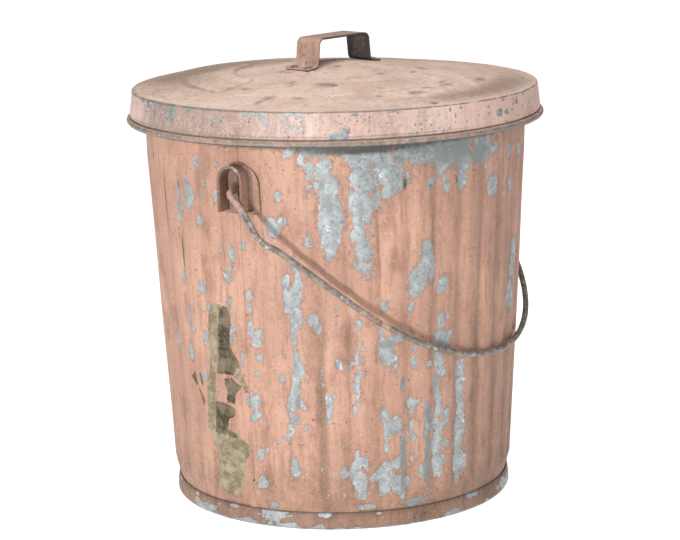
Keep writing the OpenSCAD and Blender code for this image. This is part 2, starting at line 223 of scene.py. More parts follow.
def resampled(line: np.ndarray, step: float) -> np.ndarray:
    """Adds points to a line, so that none lie more than a step apart."""
    parts = []
    for start, end in zip(line[:-1], line[1:]):
        count = max(1, int(np.ceil(np.linalg.norm(end - start) / step)))
        parts.append(start + (end - start) * np.linspace(0, 1, count, endpoint=False)[:, None])
    return np.concatenate([*parts, line[-1:]])


def across_of(line: np.ndarray) -> np.ndarray:
    """Unit normals of a flat line: its direction, turned a quarter to the right."""
    ahead = np.gradient(line, axis=0)
    ahead /= np.linalg.norm(ahead, axis=1, keepdims=True)
    return np.stack([ahead[:, 1], -ahead[:, 0]], -1)


class Body(str, Enum):
    """The bodies that a piece can ride on."""

    CAN = "root"
    BAIL = "bail"
    LID = "lid"


def piece(name: str, skins: list[Skin], body: Body, finish: bpy.types.Material,
          nodes: tuple[str, ...] = ()) -> bpy.types.Object:
    """Makes one object of some surfaces and lets it ride.

    Args:
        name: the object's name.
        skins: its surfaces, in millimetres.
        body: the body that it rides on.
        finish: its material.
        nodes: the CAD nodes that it stands for.
    Returns:
        The object.
    """
    starts = np.cumsum([0] + [len(s.points) for s in skins])
    quads = np.concatenate([s.quads + n for s, n in zip(skins, starts)])
    triangles = np.concatenate([s.triangles + n for s, n in zip(skins, starts)])
    mesh = bpy.data.meshes.new(name)
    mesh.vertices.add(int(starts[-1]))
    points = np.concatenate([s.points for s in skins])
    mesh.vertices.foreach_set("co", (points * MM).astype(np.float32).ravel())
    corners = np.concatenate([quads.ravel(), triangles.ravel()])
    mesh.loops.add(len(corners))
    mesh.loops.foreach_set("vertex_index", corners.astype(np.int32))
    sizes = np.concatenate([np.full(len(quads), 4), np.full(len(triangles), 3)])
    mesh.polygons.add(len(sizes))
    mesh.polygons.foreach_set("loop_start", (np.cumsum(sizes) - sizes).astype(np.int32))
    mesh.update(calc_edges=True)
    mesh.polygons.foreach_set("use_smooth", np.ones(len(sizes), bool))
    mesh.set_sharp_from_angle(angle=radians(SHARP))
    for key in skins[0].values:
        stored = mesh.attributes.new(key, "FLOAT", "POINT")
        stored.data.foreach_set("value", np.concatenate([s.values[key] for s in skins]).astype(np.float32))
    mesh.validate()
    made = bpy.data.objects.new(name, mesh)
    bpy.context.scene.collection.objects.link(made)
    mesh.materials.append(finish)
    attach(made, body.value)
    if nodes:
        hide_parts(*nodes)
    log.info("%s: %d points, %d faces, on %s", name, len(points), len(sizes), body.value)
    return made


@dataclass(frozen=True)
class Mark:
    """A blotch: its middle, its half sizes and how far it leans as it rises."""

    angle: float
    height: float
    across: float
    up: float
    lean: float = 0.0


def marked(marks: Marks, angle: np.ndarray, height: np.ndarray, turn: float = 0.0) -> np.ndarray:
    """How much of each point the blotches cover.

    A blotch gives one at its middle, a half on its outline and nothing at twice
    its size; its outline is a superellipse, whose distances add as cubes.

    Args:
        marks: angle, height, half width in degrees, half height in millimetres,
            and perhaps a lean in degrees a millimetre.
        angle: degrees from the ear.
        height: millimetres up, or out from the centre of the lid.
        turn: an angle added to the marks' own.
    Returns:
        The largest cover that any blotch gives.
    """
    cover = np.zeros(np.broadcast(angle, height).shape)
    for mark in (Mark(*values) for values in marks):
        beside = around(angle - mark.angle - turn - mark.lean * (height - mark.height)) / mark.across
        above = (height - mark.height) / mark.up
        reach = np.cbrt(np.abs(beside) ** 3 + np.abs(above) ** 3)
        cover = np.maximum(cover, 1 - reach / 2)
    return cover


class Recipe:
    """The node tree of one material."""

    def __init__(self, name: str) -> None:
        self.material = bpy.data.materials.new(name)
        self.material.use_nodes = True
        self.tree = self.material.node_tree
        self.tree.nodes.clear()
        self.place = self.add("TexCoord", {}, "Object")

    def add(self, kind: str, inputs: dict, out: int | str = 0, **settings) -> bpy.types.NodeSocket:
        """Adds a node.

        Args:
            kind: the node's type, without ShaderNode.
            inputs: for each input a value, a hex colour or the output it is linked from.
            out: the output that is wanted.
            **settings: the node's own settings.
        Returns:
            That output.
        """
        made = self.tree.nodes.new("ShaderNode" + kind)
        for key, value in settings.items():
            setattr(made, key, value)
        for key, value in inputs.items():
            if isinstance(value, bpy.types.NodeSocket):
                self.tree.links.new(value, made.inputs[key])
            else:
                made.inputs[key].default_value = linear(value) if isinstance(value, str) else value
        return made.outputs[out]

    def patterns(self, sizes: dict[str, Triple],
                 place: bpy.types.NodeSocket | None = None) -> dict[str, bpy.types.NodeSocket]:
        """Makes noises. The size is their fourth coordinate too, so that no two are alike.

        Args:
            sizes: for each name the size of its lumps in millimetres, the
                octaves below that and their strength.
            place: the coordinates; otherwise the object's.
        Returns:
            Their values from 0 to 1, by name.
        """
        made = {}
        for name, (size, detail, rough) in sizes.items():
            inputs = {"Vector": place or self.place, "W": size, "Scale": 1 / (size * MM),
                      "Detail": detail, "Roughness": rough}
            made[name] = self.add("TexNoise", inputs, noise_dimensions="4D")
        return made

    def total(self, *parts: tuple) -> bpy.types.NodeSocket:
        """Adds up values, each times its weight."""
        done = 0.0
        for value, weight in parts:
            done = self.add("Math", {0: value, 1: weight, 2: done}, operation="MULTIPLY_ADD")
        return done

    def tinted(self, colour: str | bpy.types.NodeSocket, *layers: tuple) -> bpy.types.NodeSocket:
        """Lays tints over a colour.

        Args:
            colour: what lies below.
            *layers: for each a value, the range of it over which the tint sets
                in, the most that it covers, and the tint.
        Returns:
            The colour.
        """
        for value, low, high, most, tint in layers:
            share = self.add("MapRange", {"Value": value, "From Min": low, "From Max": high, "To Max": most},
                             interpolation_type="SMOOTHSTEP")
            colour = self.add("Mix", {0: share, 6: colour, 7: tint}, 2, data_type="RGBA")
        return colour

    def done(self, **shader) -> bpy.types.Material:
        """Adds the shader, whose inputs are given with underscores for spaces."""
        inputs = {name.replace("_", " "): value for name, value in shader.items()}
        surface = self.add("BsdfPrincipled", inputs)
        self.tree.links.new(surface, self.tree.nodes.new("ShaderNodeOutputMaterial").inputs["Surface"])
        return self.material


class Grain(Enum):
    """How dirt has settled: in runs down a wall, or in spots on a level top.

    The value scales heights in the dirt's pattern, so a small one draws it out.
    """

    DOWN = 0.1
    LEVEL = 1.0


@dataclass(frozen=True)
class WornPaint:
    """Old enamel over hot-dip galvanised sheet.

    The paint is flat and chalky, with soft stains and pin specks; it has flaked
    off in ragged chips with a thin step at their edge, and the grey zinc that
    shows there is blotched and gritty, with a dull sheen. Soot and painted shade
    lie over both, and painted light and shade also ride with the grime. Where
    they lie is stored at the points: loss of paint, grime with painted light and
    shade, stain, and soot with painted shade.
    """

    name: str
    base: str
    pale: str
    deep: str
    dirt: str
    grain: Grain = Grain.DOWN
    wear: float = 0.0
    zinc: tuple[str, str, str] = ("#AEB2B3", "#989D9F", "#6B7275")
    bloom: tuple[str, str] = ("#DADCDD", "#DADDDF")
    specks: tuple[str, str] = ("#553C2F", "#EBD6CA")
    stain: str = "#7E8480"
    soot: str = "#3E3B38"
    stretch: float = 0.55
    step: float = 0.14
    grit: float = 0.06

    def material(self) -> bpy.types.Material:
        """Builds the material."""
        mix = Recipe(self.name)
        tall = mix.add("VectorMath", {0: mix.place, 1: (1, 1, self.stretch)}, operation="MULTIPLY")
        far = mix.patterns({"lumps": (13, 8, 0.6), "smear": (24, 5, 0.65)}, tall)
        near = mix.patterns({"cloud": (70, 3, 0.5), "blot": (9, 6, 0.7), "fine": (3.6, 3, 0.6),
                           "grit": (1.7, 2, 0.6), "pins": (2.6, 1, 0.4), "dots": (2.1, 1, 0.4),
                           "spangle": (8, 4, 0.6)})
        runs = mix.add("VectorMath", {0: mix.place, 1: (1, 1, self.grain.value)}, operation="MULTIPLY")
        run = mix.patterns({"streak": (5, 4, 0.6)}, runs)["streak"]
        loss, grime_and_shade_stored, mark, soot = (mix.add("Attribute", {}, "Fac", attribute_name=key)
                                  for key in ("loss", "grime", "stain", "soot"))
        # The noises' mean is taken off, so that metal shows where the loss is over a half
        noise_mean = 1.345
        edge = mix.total((loss, 1.0), (far["lumps"], 1.8), (near["fine"], 0.9), (1.0, self.wear - noise_mean))
        bare = mix.add("MapRange", {"Value": edge, "From Min": 0.48, "From Max": 0.52})
        grime = mix.total((grime_and_shade_stored, 1.0), (near["blot"], 0.9), (run, 0.5), (1.0, -0.85))
        paint = mix.tinted(
            self.base,
            (near["cloud"], 0.4, 0.62, 1.0, self.pale),
            (run, 0.48, 0.7, 0.55, self.deep),
            (far["smear"], 0.5, 0.66, 0.6, self.deep),
            (near["fine"], 0.52, 0.72, 0.45, self.deep),
            # Grime darkens the paint in the dirt's colour, and so does the painted shade stored with it;
            # painted light is stored there as less of it
            (grime, 0.0, 0.9, 0.75, self.dirt),
            (near["grit"], 0.5, 0.7, 0.45, self.pale),
            (edge, 0.3, 0.5, 0.4, self.dirt),
            (near["pins"], 0.7, 0.74, 0.85, self.specks[0]),
            (near["dots"], 0.71, 0.75, 0.7, self.specks[1]),
        )
        metal = mix.tinted(
            self.zinc[1],
            (near["spangle"], 0.45, 0.62, 1.0, self.zinc[0]),
            (near["fine"], 0.5, 0.66, 0.6, self.zinc[2]),
            (near["grit"], 0.52, 0.66, 0.65, self.zinc[0]),
            (near["blot"], 0.57, 0.67, 0.7, self.bloom[0]),
            (mix.total((near["blot"], 1.0), (edge, -0.6)), 0.2, 0.32, 0.6, self.bloom[1]),
            (mix.total((mark, 1.0), (near["blot"], 1.6), (1.0, -0.8)), 0.3, 0.8, 0.8, self.stain),
        )
        step = mix.add("Bump", {"Height": mix.total((bare, -1.0)), "Distance": self.step * MM})
        skin = mix.add("Bump", {"Height": near["grit"], "Distance": self.grit * MM, "Normal": step})
        # Soot and painted shade darken paint and metal alike in the soot's colour
        sooty = mix.total((soot, 1.0), (near["fine"], 0.5), (1.0, -0.25))
        colour = mix.tinted(paint, (bare, 0.0, 1.0, 1.0, metal), (sooty, 0.25, 0.75, 0.85, self.soot))
        return mix.done(Base_Color=colour, Metallic=mix.total((bare, 0.3)), Normal=skin,
                        Roughness=mix.total((bare, -0.12), (near["fine"], 0.1), (1.0, 0.56)))


@dataclass(frozen=True)
class DullZinc:
    """Old galvanised sheet or wire: grey, in cloudy crystals, dull, with rusty flecks."""

    name: str
    pale: str
    deep: str
    rust: str
    crystal: float = 9.0
    grit: float = 0.06

    def material(self) -> bpy.types.Material:
        """Builds the material."""
        mix = Recipe(self.name)
        crystal = mix.add("TexVoronoi", {"Vector": mix.place, "Scale": 1 / (self.crystal * MM)}, "Color")
        near = mix.patterns({"cloud": (12, 5, 0.6), "flecks": (5, 6, 0.7), "grit": (2, 4, 0.5)})
        cloudy = mix.total((crystal, 0.35), (near["cloud"], 0.7))
        colour = mix.tinted(self.deep, (cloudy, 0.35, 0.75, 1.0, self.pale),
                            (near["flecks"], 0.56, 0.7, 0.8, self.rust))
        skin = mix.add("Bump", {"Height": near["grit"], "Distance": self.grit * MM})
        return mix.done(Base_Color=colour, Metallic=0.6, Normal=skin,
                        Roughness=mix.total((near["flecks"], 0.3), (1.0, 0.35)))


@dataclass(frozen=True)
class OldPaper:
    """Torn remnants of glued paper: brown, matt and fibrous, and darker where wet."""

    name: str
    pale: str
    deep: str
    fibre: float = 0.15

    def material(self) -> bpy.types.Material:
        """Builds the material."""
        mix = Recipe(self.name)
        near = mix.patterns({"blot": (14, 5, 0.65), "fibre": (2.4, 3, 0.6)})
        colour = mix.tinted(self.deep, (near["blot"], 0.4, 0.6, 1.0, self.pale),
                            (near["fibre"], 0.5, 0.62, 0.45, self.pale),
                            (near["fibre"], 0.5, 0.34, 0.4, self.deep))
        skin = mix.add("Bump", {"Height": near["fibre"], "Distance": self.fibre * MM})
        return mix.done(Base_Color=colour, Roughness=0.9, Normal=skin)


@dataclass(frozen=True)
class WhiteFloor:
    """Plain white paper under the can: it only takes the shadow.

    Seen straight, in a reflection or through glass, it also glows, so that it
    ends in plain white.
    """

    name: str
    colour: str = "#FFFFFF"
    glow: float = 0.72

    def material(self) -> bpy.types.Material:
        """Builds the material."""
        mix = Recipe(self.name)
        seen = 0.0
        for ray in ("Is Camera Ray", "Is Glossy Ray", "Is Transmission Ray"):
            seen = mix.add("Math", {0: mix.add("LightPath", {}, ray), 1: seen}, operation="MAXIMUM")
        return mix.done(Base_Color=self.colour, Roughness=0.9, Emission_Color=self.colour,
                        Emission_Strength=mix.total((seen, self.glow)))


WALL_PAINT = WornPaint("worn_enamel_wall", "#BF9480", "#D0A38D", "#966F5B", "#755D4A")
FOOT_PAINT = WornPaint("worn_enamel_foot", "#997763", "#A8846F", "#785A48", "#524035", wear=0.06)
SKIRT_PAINT = WornPaint("worn_enamel_skirt", "#DDBAAC", "#E8CCC1", "#C29C8E", "#7D6A5C",
                        zinc=("#A5AAAC", "#858C8F", "#62696B"), stain="#817868")
TOP_PAINT = WornPaint("worn_enamel_lid", "#DDBFAD", "#E8CDBB", "#BDA08F", "#856E5E", grain=Grain.LEVEL)
GRIP_PAINT = WornPaint("worn_enamel_handle", "#B39182", "#C2A091", "#8C6D5E", "#3F332D",
                       zinc=("#8F979B", "#646B6E", "#414547"), stain="#434342")
EAR_PAINT = WornPaint("worn_enamel_ear", "#B58C7A", "#C49A88", "#8E6A58", "#6F5846")
WIRE_PAINT = WornPaint("worn_enamel_wire", "#BC9482", "#C8A291", "#857A6E", "#5F574E",
                       zinc=("#9F988D", "#766F66", "#4D4842"), stain="#5A5149")
SHEET_ZINC = DullZinc("galvanised_sheet", "#A3A8A9", "#7C8182", "#6B4A36")
WIRE_ZINC = DullZinc("galvanised_wire", "#8D9090", "#666A6A", "#5C4233")
STEEL = DullZinc("bare_steel_rivet", "#8A7F76", "#5E554E", "#4E372A")
PAPER = OldPaper("torn_paper", "#B0A38B", "#80745A")
DARK_PAPER = OldPaper("torn_wet_paper", "#83755F", "#423A2E")
FLOOR = WhiteFloor("white_backdrop")

# Chips in the wall's paint, placed nearly all against a grid laid over the photo:
# angle from the middle of the view, height, half width in degrees, half height in millimetres
CHIPS = (
    (19.5, 64, 0.9, 33), (27.9, 62, 1.1, 32), (24.5, 22, 3.6, 4), (-12.6, 364, 2.2, 3.5),
    (-10.5, 358, 1.5, 6), (-8, 353, 1.9, 4.5), (-7.9, 344, 1.2, 3.5), (-8.2, 334, 0.8, 2),
    (-8.3, 327, 0.7, 3), (-5, 366, 6, 5), (-3.5, 352, 1.9, 10), (-2, 335, 3.4, 14), (-2.5, 318, 3, 10),
    (-2.5, 300, 3.5, 16), (-2.4, 285, 3, 12), (-1.9, 274, 2.2, 8), (5, 359, 4.6, 10), (12, 362, 6, 7),
    (7.3, 340, 4.1, 14), (7.3, 318, 4.3, 14), (6, 300, 3, 10), (5.5, 288, 2.5, 10), (7.2, 275, 2.6, 12),
    (7, 258, 2.9, 6), (7.8, 250, 1.8, 5), (15.5, 346, 5.4, 13), (15, 330, 2.4, 8), (18.2, 336, 2.4, 8),
    (6, 369, 18, 5), (26, 366, 20, 7), (20, 362, 5, 7), (24, 359, 5, 8), (34, 362, 8, 14),
    (31.3, 344, 0.8, 6), (32.4, 335, 0.8, 7), (33.5, 326, 0.9, 5), (33, 347, 2.4, 3.5), (39, 330, 1.8, 8),
    (40, 348, 2, 8), (28.6, 333, 1.4, 6), (46.5, 353, 4, 12), (49.6, 344, 0.9, 13), (52.5, 355, 2.4, 4),
    (53, 318, 2.4, 7), (52.3, 327, 1.6, 4), (62, 347, 1.6, 6), (63.3, 315, 1.5, 6), (71, 344, 1.6, 8),
    (70, 250, 1.8, 12), (69.7, 228, 2, 16), (69, 205, 1.6, 12), (26.7, 268, 1.6, 9), (26.5, 254, 2.6, 7),
    (23.6, 244, 2.6, 10), (29, 248, 1.1, 10), (22.8, 233, 2.2, 7), (32.5, 233, 1.5, 7), (45.5, 263, 0.7, 3),
    (-17, 325, 0.9, 5), (-14, 330, 0.5, 3), (-8.7, 304, 0.4, 2), (-8.8, 282, 1.4, 5), (-16, 301, 1.5, 4),
    (-19.5, 299, 1.6, 5), (-18.8, 291, 1.6, 5), (-13.2, 262, 1, 6), (-12.3, 252, 1, 6),
    (-11.8, 243, 1.2, 6), (-16, 245, 1, 6), (-13.2, 228, 2, 10), (-12.8, 212, 1.8, 10),
    (-16.2, 232, 0.8, 5), (-15.7, 218, 1, 4), (-14, 195, 1, 8), (-14, 184, 0.9, 5), (-13.5, 173, 1, 8),
    (-13, 160, 1.7, 8), (-13.9, 149, 1, 5), (-13.9, 138, 1.8, 6), (-14, 126, 2.7, 7), (-15, 109, 1.9, 4.5),
    (-16.8, 101, 0.8, 5), (-16, 97, 1, 2), (-18, 91, 1.3, 3), (-11.6, 101, 0.8, 3), (-15.6, 62, 1.3, 8),
    (-11.7, 67, 0.4, 2), (-20.5, 88, 0.9, 3), (-17.5, 172, 0.8, 3), (-18.6, 150, 1.3, 4),
    (-7.7, 208, 1.5, 5), (-6.7, 200, 1, 5), (-6, 156, 0.6, 3), (-5.6, 145, 0.6, 3.5), (-4.2, 131, 0.6, 5),
    (-3.8, 120, 0.9, 8), (-3.9, 110, 0.7, 4), (-2.3, 135, 0.5, 2.5), (-1, 220, 0.6, 3), (-1.1, 206, 0.4, 3),
    (-6.9, 99, 0.9, 2), (0.1, 84, 0.5, 3), (-6.9, 60, 0.5, 2), (-3.2, 55.5, 0.6, 2), (-0.4, 166, 0.9, 4),
    (0.3, 160, 0.7, 4), (5.5, 204, 0.8, 3.5), (6.5, 182, 0.4, 5), (4.9, 174, 0.4, 4), (4.7, 164, 2, 6),
    (2.8, 158, 0.9, 4), (5.6, 155, 2.2, 5), (4.6, 143, 1.1, 8), (4.8, 133, 0.7, 5), (4.2, 119, 0.6, 4),
    (4.6, 77, 0.6, 4), (5.3, 68, 1.6, 6), (3.7, 63, 1.6, 4), (7, 64, 1.1, 5), (0.3, 62, 0.8, 4),
    (0.7, 55, 1.4, 5), (4.5, 53, 2.6, 5), (9.3, 50, 1.4, 4), (5.5, 44, 3, 8), (5.5, 34, 2.2, 5),
    (7.2, 22, 3, 3), (0.2, 36, 0.8, 4), (13.3, 219, 1.3, 6), (21.8, 214, 0.9, 6), (12.9, 195, 1.2, 3.5),
    (17.3, 186, 2.6, 4), (14, 182, 2.1, 5), (13.9, 169, 2.7, 8), (16.4, 157, 1.2, 3.5), (23.1, 175, 1, 4),
    (23.1, 160, 1, 7), (19.3, 142, 0.7, 6), (28, 157, 1.2, 2.5), (23.2, 123, 1.7, 4), (22.4, 114, 1.4, 5),
    (22.4, 97, 0.8, 8), (22.8, 86, 1, 5), (13.7, 114, 1.5, 6), (17, 103, 2.4, 8), (14, 95, 0.8, 6),
    (14, 79, 1, 6), (13.5, 60, 2.8, 7), (17.4, 62, 1.6, 7), (15.5, 48, 4, 8), (13, 38, 1.6, 6),
    (18, 40, 2, 6), (20.8, 44, 0.9, 6), (22.5, 68, 0.8, 5), (25.6, 53, 0.9, 8), (32.2, 198, 1, 6),
    (34.5, 203, 0.6, 4), (33.2, 182, 2.4, 6), (33.3, 173, 2.3, 5), (31.8, 158, 1.5, 7), (32.3, 148, 1.5, 7),
    (31.3, 136, 1.2, 8), (31.7, 122, 1.3, 8), (31.8, 110, 1.6, 6), (34.6, 106, 1.5, 4), (34.7, 95, 1.2, 3),
    (28, 114, 1.1, 4.5), (28.3, 103, 1.5, 5), (30, 97, 2.4, 5), (32.3, 92, 1.7, 6), (32, 84, 1.8, 6),
    (31.5, 76, 2, 6), (34.5, 76, 1.6, 3.5), (32, 60, 1.8, 8), (31.6, 50, 1.5, 7), (40, 148, 1.3, 8),
    (41.6, 137, 1, 5), (40.3, 126, 1.3, 8), (40.6, 104, 1.5, 10), (41, 80, 2, 14), (41, 56, 2.3, 14),
    (40.3, 36, 0.8, 4), (-27.8, 228, 1.4, 5), (-28.2, 217, 1, 4), (-27.9, 209, 0.5, 3),
    (-27.8, 203, 0.8, 3), (-28, 197, 1, 3), (-26.5, 192, 1.6, 4), (-26.3, 183, 1.3, 5),
    (-25.7, 168, 1.3, 4.5), (-26.6, 152, 0.8, 2.5), (-31.5, 166, 0.6, 7), (-28, 125, 2.2, 6),
    (-26.8, 114, 1.8, 4), (-28.7, 108, 1.2, 4), (-27.2, 70, 0.8, 6), (-25, 77, 0.6, 3), (-24, 100, 0.6, 2),
    (-35.4, 220, 1.4, 4), (-34.8, 211, 1, 4), (-34.5, 195, 1, 3.5), (-36.1, 184, 0.9, 5),
    (-44.3, 211, 1.4, 4), (-46.6, 229, 1.4, 6), (-55, 206, 0.9, 5), (-54.7, 196, 0.8, 7),
    (-53, 185, 1.4, 5), (-55, 162, 1.4, 9), (-47, 181, 0.8, 5), (-48.8, 141, 1, 4), (-56, 95, 0.6, 3),
    (-64.3, 168, 0.8, 12), (-72, 178, 1.8, 8), (-45, 352, 0.9, 4), (-44.3, 347, 0.8, 5),
    (-43.4, 339, 0.9, 5), (-42.2, 333, 0.9, 6), (-49.6, 335, 0.8, 4), (-36.5, 352, 0.8, 3),
    (-36, 346, 0.6, 3), (-38, 322, 0.8, 6), (-55.5, 319, 0.6, 6), (-50, 322, 0.6, 5), (-48, 319, 1, 6),
    (-50, 310, 1.5, 5), (-54.5, 303, 1.8, 5), (-55.6, 294, 1, 4), (-45, 295, 1.6, 5), (-27.8, 303, 1.2, 3),
    (-43, 319, 0.7, 3), (-37.6, 269, 0.9, 4), (-33.2, 266, 0.9, 7), (-28.9, 276, 0.9, 3),
    (-34.3, 252, 1, 4), (-35.8, 245, 1.7, 5), (-56.3, 236, 0.7, 8), (-27, 43, 1.8, 5), (-23, 22, 1.4, 3),
)
# Paint that has stayed on between them, in the same terms, as are the next three tables
ISLANDS = (
    (0, 352, 1.6, 10), (2.5, 327, 0.8, 20), (2, 284, 1.3, 14), (9.7, 325, 0.9, 4), (12.6, 328, 0.7, 6),
    (25, 337, 2.4, 9), (35.3, 338, 1, 7), (42.3, 338, 0.7, 9), (27.3, 241, 0.9, 4), (3.6, 266, 1, 9),
)
# Dark stains on the bare metal
STAINS = (
    (-5, 368, 6, 5), (7, 368, 7, 3.5), (-4.3, 338, 1.2, 9), (-3, 318, 1.5, 8), (5.4, 262, 0.8, 7),
    (10, 353, 1.4, 3), (19.8, 333, 1, 8), (17.8, 357, 1.6, 4), (24, 367, 5, 5), (36, 360, 10, 15),
    (29, 346, 1.4, 8), (46, 352, 4, 11), (14, 182, 2.2, 5), (12.8, 166, 1.3, 6), (33, 172, 2.2, 5),
    (19.3, 142, 0.9, 7), (28, 112, 1.3, 6), (28.6, 102, 1.4, 5), (17, 118, 1, 5), (31.4, 140, 1, 8),
    (-14, 126, 1, 6), (-15.3, 109, 1.2, 3), (19.5, 64, 1.1, 33), (27.9, 62, 1.4, 32), (24.5, 22, 3.8, 4.5),
)
# Soot, over paint and metal alike
SOOT = (
    (-64.3, 310, 0.35, 28), (-55.5, 257, 0.35, 18), (-73, 297, 0.5, 13), (-73.5, 225, 0.6, 18),
    (-71.3, 347, 0.8, 3), (-54.7, 326, 0.4, 5), (27.8, 331, 0.4, 1.6), (36.8, 335, 0.3, 1.5),
    (36.9, 331, 0.4, 1.5), (19.4, 312, 0.35, 1.4), (19.8, 333, 0.5, 5), (-73, 180, 1.2, 6),
)
# Brown dirt down the valleys of the paint
DIRT = (
    (28.8, 285, 0.9, 60), (-6.3, 130, 1.3, 90), (11.4, 285, 0.7, 50), (28.5, 185, 0.6, 25),
    (34.5, 316, 1.6, 9), (33, 322, 1.2, 5), (2, 192, 2.4, 18), (46, 150, 1.2, 60), (56, 240, 1, 70),
    (-42.5, 330, 1, 4),
)
# Chips and specks on the lid's skirt, read from such a grid; a fifth value is a lean
SKIRT_CHIPS = (
    (-66.5, 402.5, 0.6, 1.5), (-62, 401, 0.9, 3), (-59, 398, 0.6, 2.6), (-57.7, 401, 0.6, 1.8),
    (-58, 394, 0.4, 2), (-55.6, 402, 0.5, 1.4), (-50, 400.5, 1.2, 3.2), (-50.5, 393.5, 1.3, 2.6),
    (-50, 390.5, 0.4, 1.2), (-52.7, 399.5, 0.3, 1.2), (-48, 395.5, 0.4, 0.9), (-47.3, 394, 0.3, 0.6),
    (-45, 394, 0.6, 0.5), (-47, 392, 0.3, 1.2), (-41, 395.5, 0.3, 0.6), (-36.5, 395, 0.5, 0.4),
    (-34, 394.5, 0.4, 1.9), (-34.5, 391, 0.4, 1.2), (-33, 395.5, 0.3, 0.5), (-40, 390, 0.3, 0.8),
    (-47.5, 384, 0.4, 0.9), (-53, 390, 0.4, 0.4), (-43, 403, 0.6, 1.6), (-31, 398.5, 0.3, 0.8),
    (-31.5, 394.5, 0.4, 1.2), (-28, 400, 0.3, 0.5), (-27, 403.5, 0.6, 0.8), (-25, 400.5, 0.3, 0.6),
    (-24.5, 402.5, 0.9, 2), (-23, 397, 0.4, 2.6), (-22.7, 390, 0.3, 0.4), (-22, 403, 1.6, 1.2),
    (-20.5, 404, 1.2, 0.8), (-19, 397.5, 0.9, 3, -0.2), (-18, 393, 0.3, 1.4), (-17.9, 398, 0.4, 0.8),
    (-13, 403, 0.8, 1.2), (-11, 403, 0.6, 0.8), (-9.8, 403, 0.6, 0.8), (-14, 393, 0.15, 7.5),
    (-14.2, 400, 0.25, 1), (-12.5, 399, 0.3, 0.8), (-12.3, 390.5, 0.3, 1.6), (-13, 391.5, 0.3, 0.6),
    (-10.7, 390.5, 0.4, 1.2), (-9.2, 401, 0.3, 0.6), (-8.3, 400.5, 0.3, 0.6), (-8.5, 396.5, 0.4, 0.7),
    (-9.4, 394.5, 0.3, 0.9), (-8.8, 390, 0.3, 0.5), (-7.6, 388, 0.3, 0.6), (-13.3, 384.5, 0.25, 0.5),
    (-12, 386, 0.3, 0.6), (-9.9, 385.5, 0.3, 1), (-3.8, 401.5, 0.3, 0.8), (-2.7, 401.5, 0.3, 0.6),
    (1.4, 394.3, 0.13, 4.2, -0.8), (1, 383.5, 1.8, 2.8), (1.7, 388, 0.8, 2.2), (3.3, 387.5, 0.4, 1.5),
    (2.4, 399.3, 0.25, 0.5), (5.3, 402, 0.8, 0.8), (7.6, 397.3, 0.3, 0.6), (9, 395.6, 0.35, 0.8),
    (11.8, 390.2, 0.3, 0.6), (11.5, 392.6, 0.3, 0.6), (13.4, 393.3, 0.35, 0.6), (14.5, 403, 1.4, 0.9),
    (17, 390.4, 0.3, 0.6), (21.2, 390, 0.25, 1.6), (22.8, 390, 0.35, 1.3), (23, 385.5, 0.35, 1.2),
    (21.5, 382.8, 0.4, 1.8), (28, 396, 0.25, 0.5), (28, 385, 0.4, 0.5), (31.8, 400.5, 0.4, 2.4),
    (33.4, 394, 0.15, 2), (35.5, 401, 0.3, 1.4), (41.8, 404, 0.5, 0.7), (41.5, 391.7, 0.7, 0.35),
    (45.3, 398, 0.3, 1.2), (45.3, 392.5, 0.3, 1), (50, 391.3, 0.9, 2.6), (53, 390, 0.9, 1.8),
    (52, 402, 0.6, 1.2), (55.8, 391, 0.6, 2), (56.6, 395.5, 0.7, 3), (57, 400, 0.4, 2),
    (58.6, 397.5, 0.7, 2.2), (62.5, 392, 0.4, 1), (63.5, 403, 0.9, 1.1),
)
# Smudges on the lid's top, read from a grid of angles and distances: angle from the
# middle of the view, millimetres out from the centre, half width in degrees, half length
SMUDGES = (
    (-42, 126, 2.5, 3), (-24, 152, 1.5, 5), (-25, 165, 1, 8), (-25, 100, 1, 8), (-21.5, 110, 1.2, 5),
    (-13, 150, 1.5, 3), (-9, 174, 0.6, 1.5), (-5, 103, 4, 8), (6, 30, 6, 2.5), (16, 148, 1, 2),
    (31, 149, 2.5, 4), (39, 138, 2.5, 2), (51, 137, 2, 2.5), (53, 128, 2.5, 2), (38, 72, 3, 3),
    (65, 84, 3, 2), (82, 86, 3, 4), (72, 148, 3, 3), (-57, 60, 3, 4), (-79, 44, 5, 5), (-50, 61, 6, 3),
    (-28, 46, 4, 6), (-150, 105, 3, 4), (-100, 150, 30, 30), (60, 175, 25, 12),
)
# Creases in the lid's top, from that grid: two ends, each an angle and a distance from
# the centre, then half width and height, which is negative for a dent
FOLDS = (
    (-38, 147, -29, 147, 2.2, -0.7), (-27, 176, -24, 156, 2, -0.8), (-24.5, 50, -21.5, 110, 2, 0.8),
    (72, 128, 52, 190, 3, 0.9), (15, 148, 32, 165, 2.2, -0.6), (-43, 172, -40, 155, 2.2, -0.8),
    (-40, 155, -37, 146, 2.2, -0.8), (31, 151, 37, 163, 2.2, 0.8), (75, 131, 85, 159, 2.4, 0.8),
)


def scattered(seed: int, count: int, angle: Pair, height: Pair, across: Pair, up: Pair) -> Marks:
    """Draws blotches at random places, small ones more often.

    Args:
        seed: seed of the draw.
        count: number of blotches.
        angle, height: ranges of their places.
        across, up: ranges of their half sizes.
    Returns:
        The blotches, as marked() takes them.
    """
    draw = np.random.default_rng(seed)
    small = draw.uniform(0, 1, count) ** 2
    return tuple(zip(draw.uniform(*angle, count), draw.uniform(*height, count),
                     across[0] + (across[1] - across[0]) * small, up[0] + (up[1] - up[0]) * small))


@dataclass(frozen=True)
class Scrap:
    """A torn piece of paper on the wall: heights from the top down, and at each
    the angles of its left and its right edge from the middle of the view."""

    rows: tuple[Triple, ...]
    finish: OldPaper = PAPER


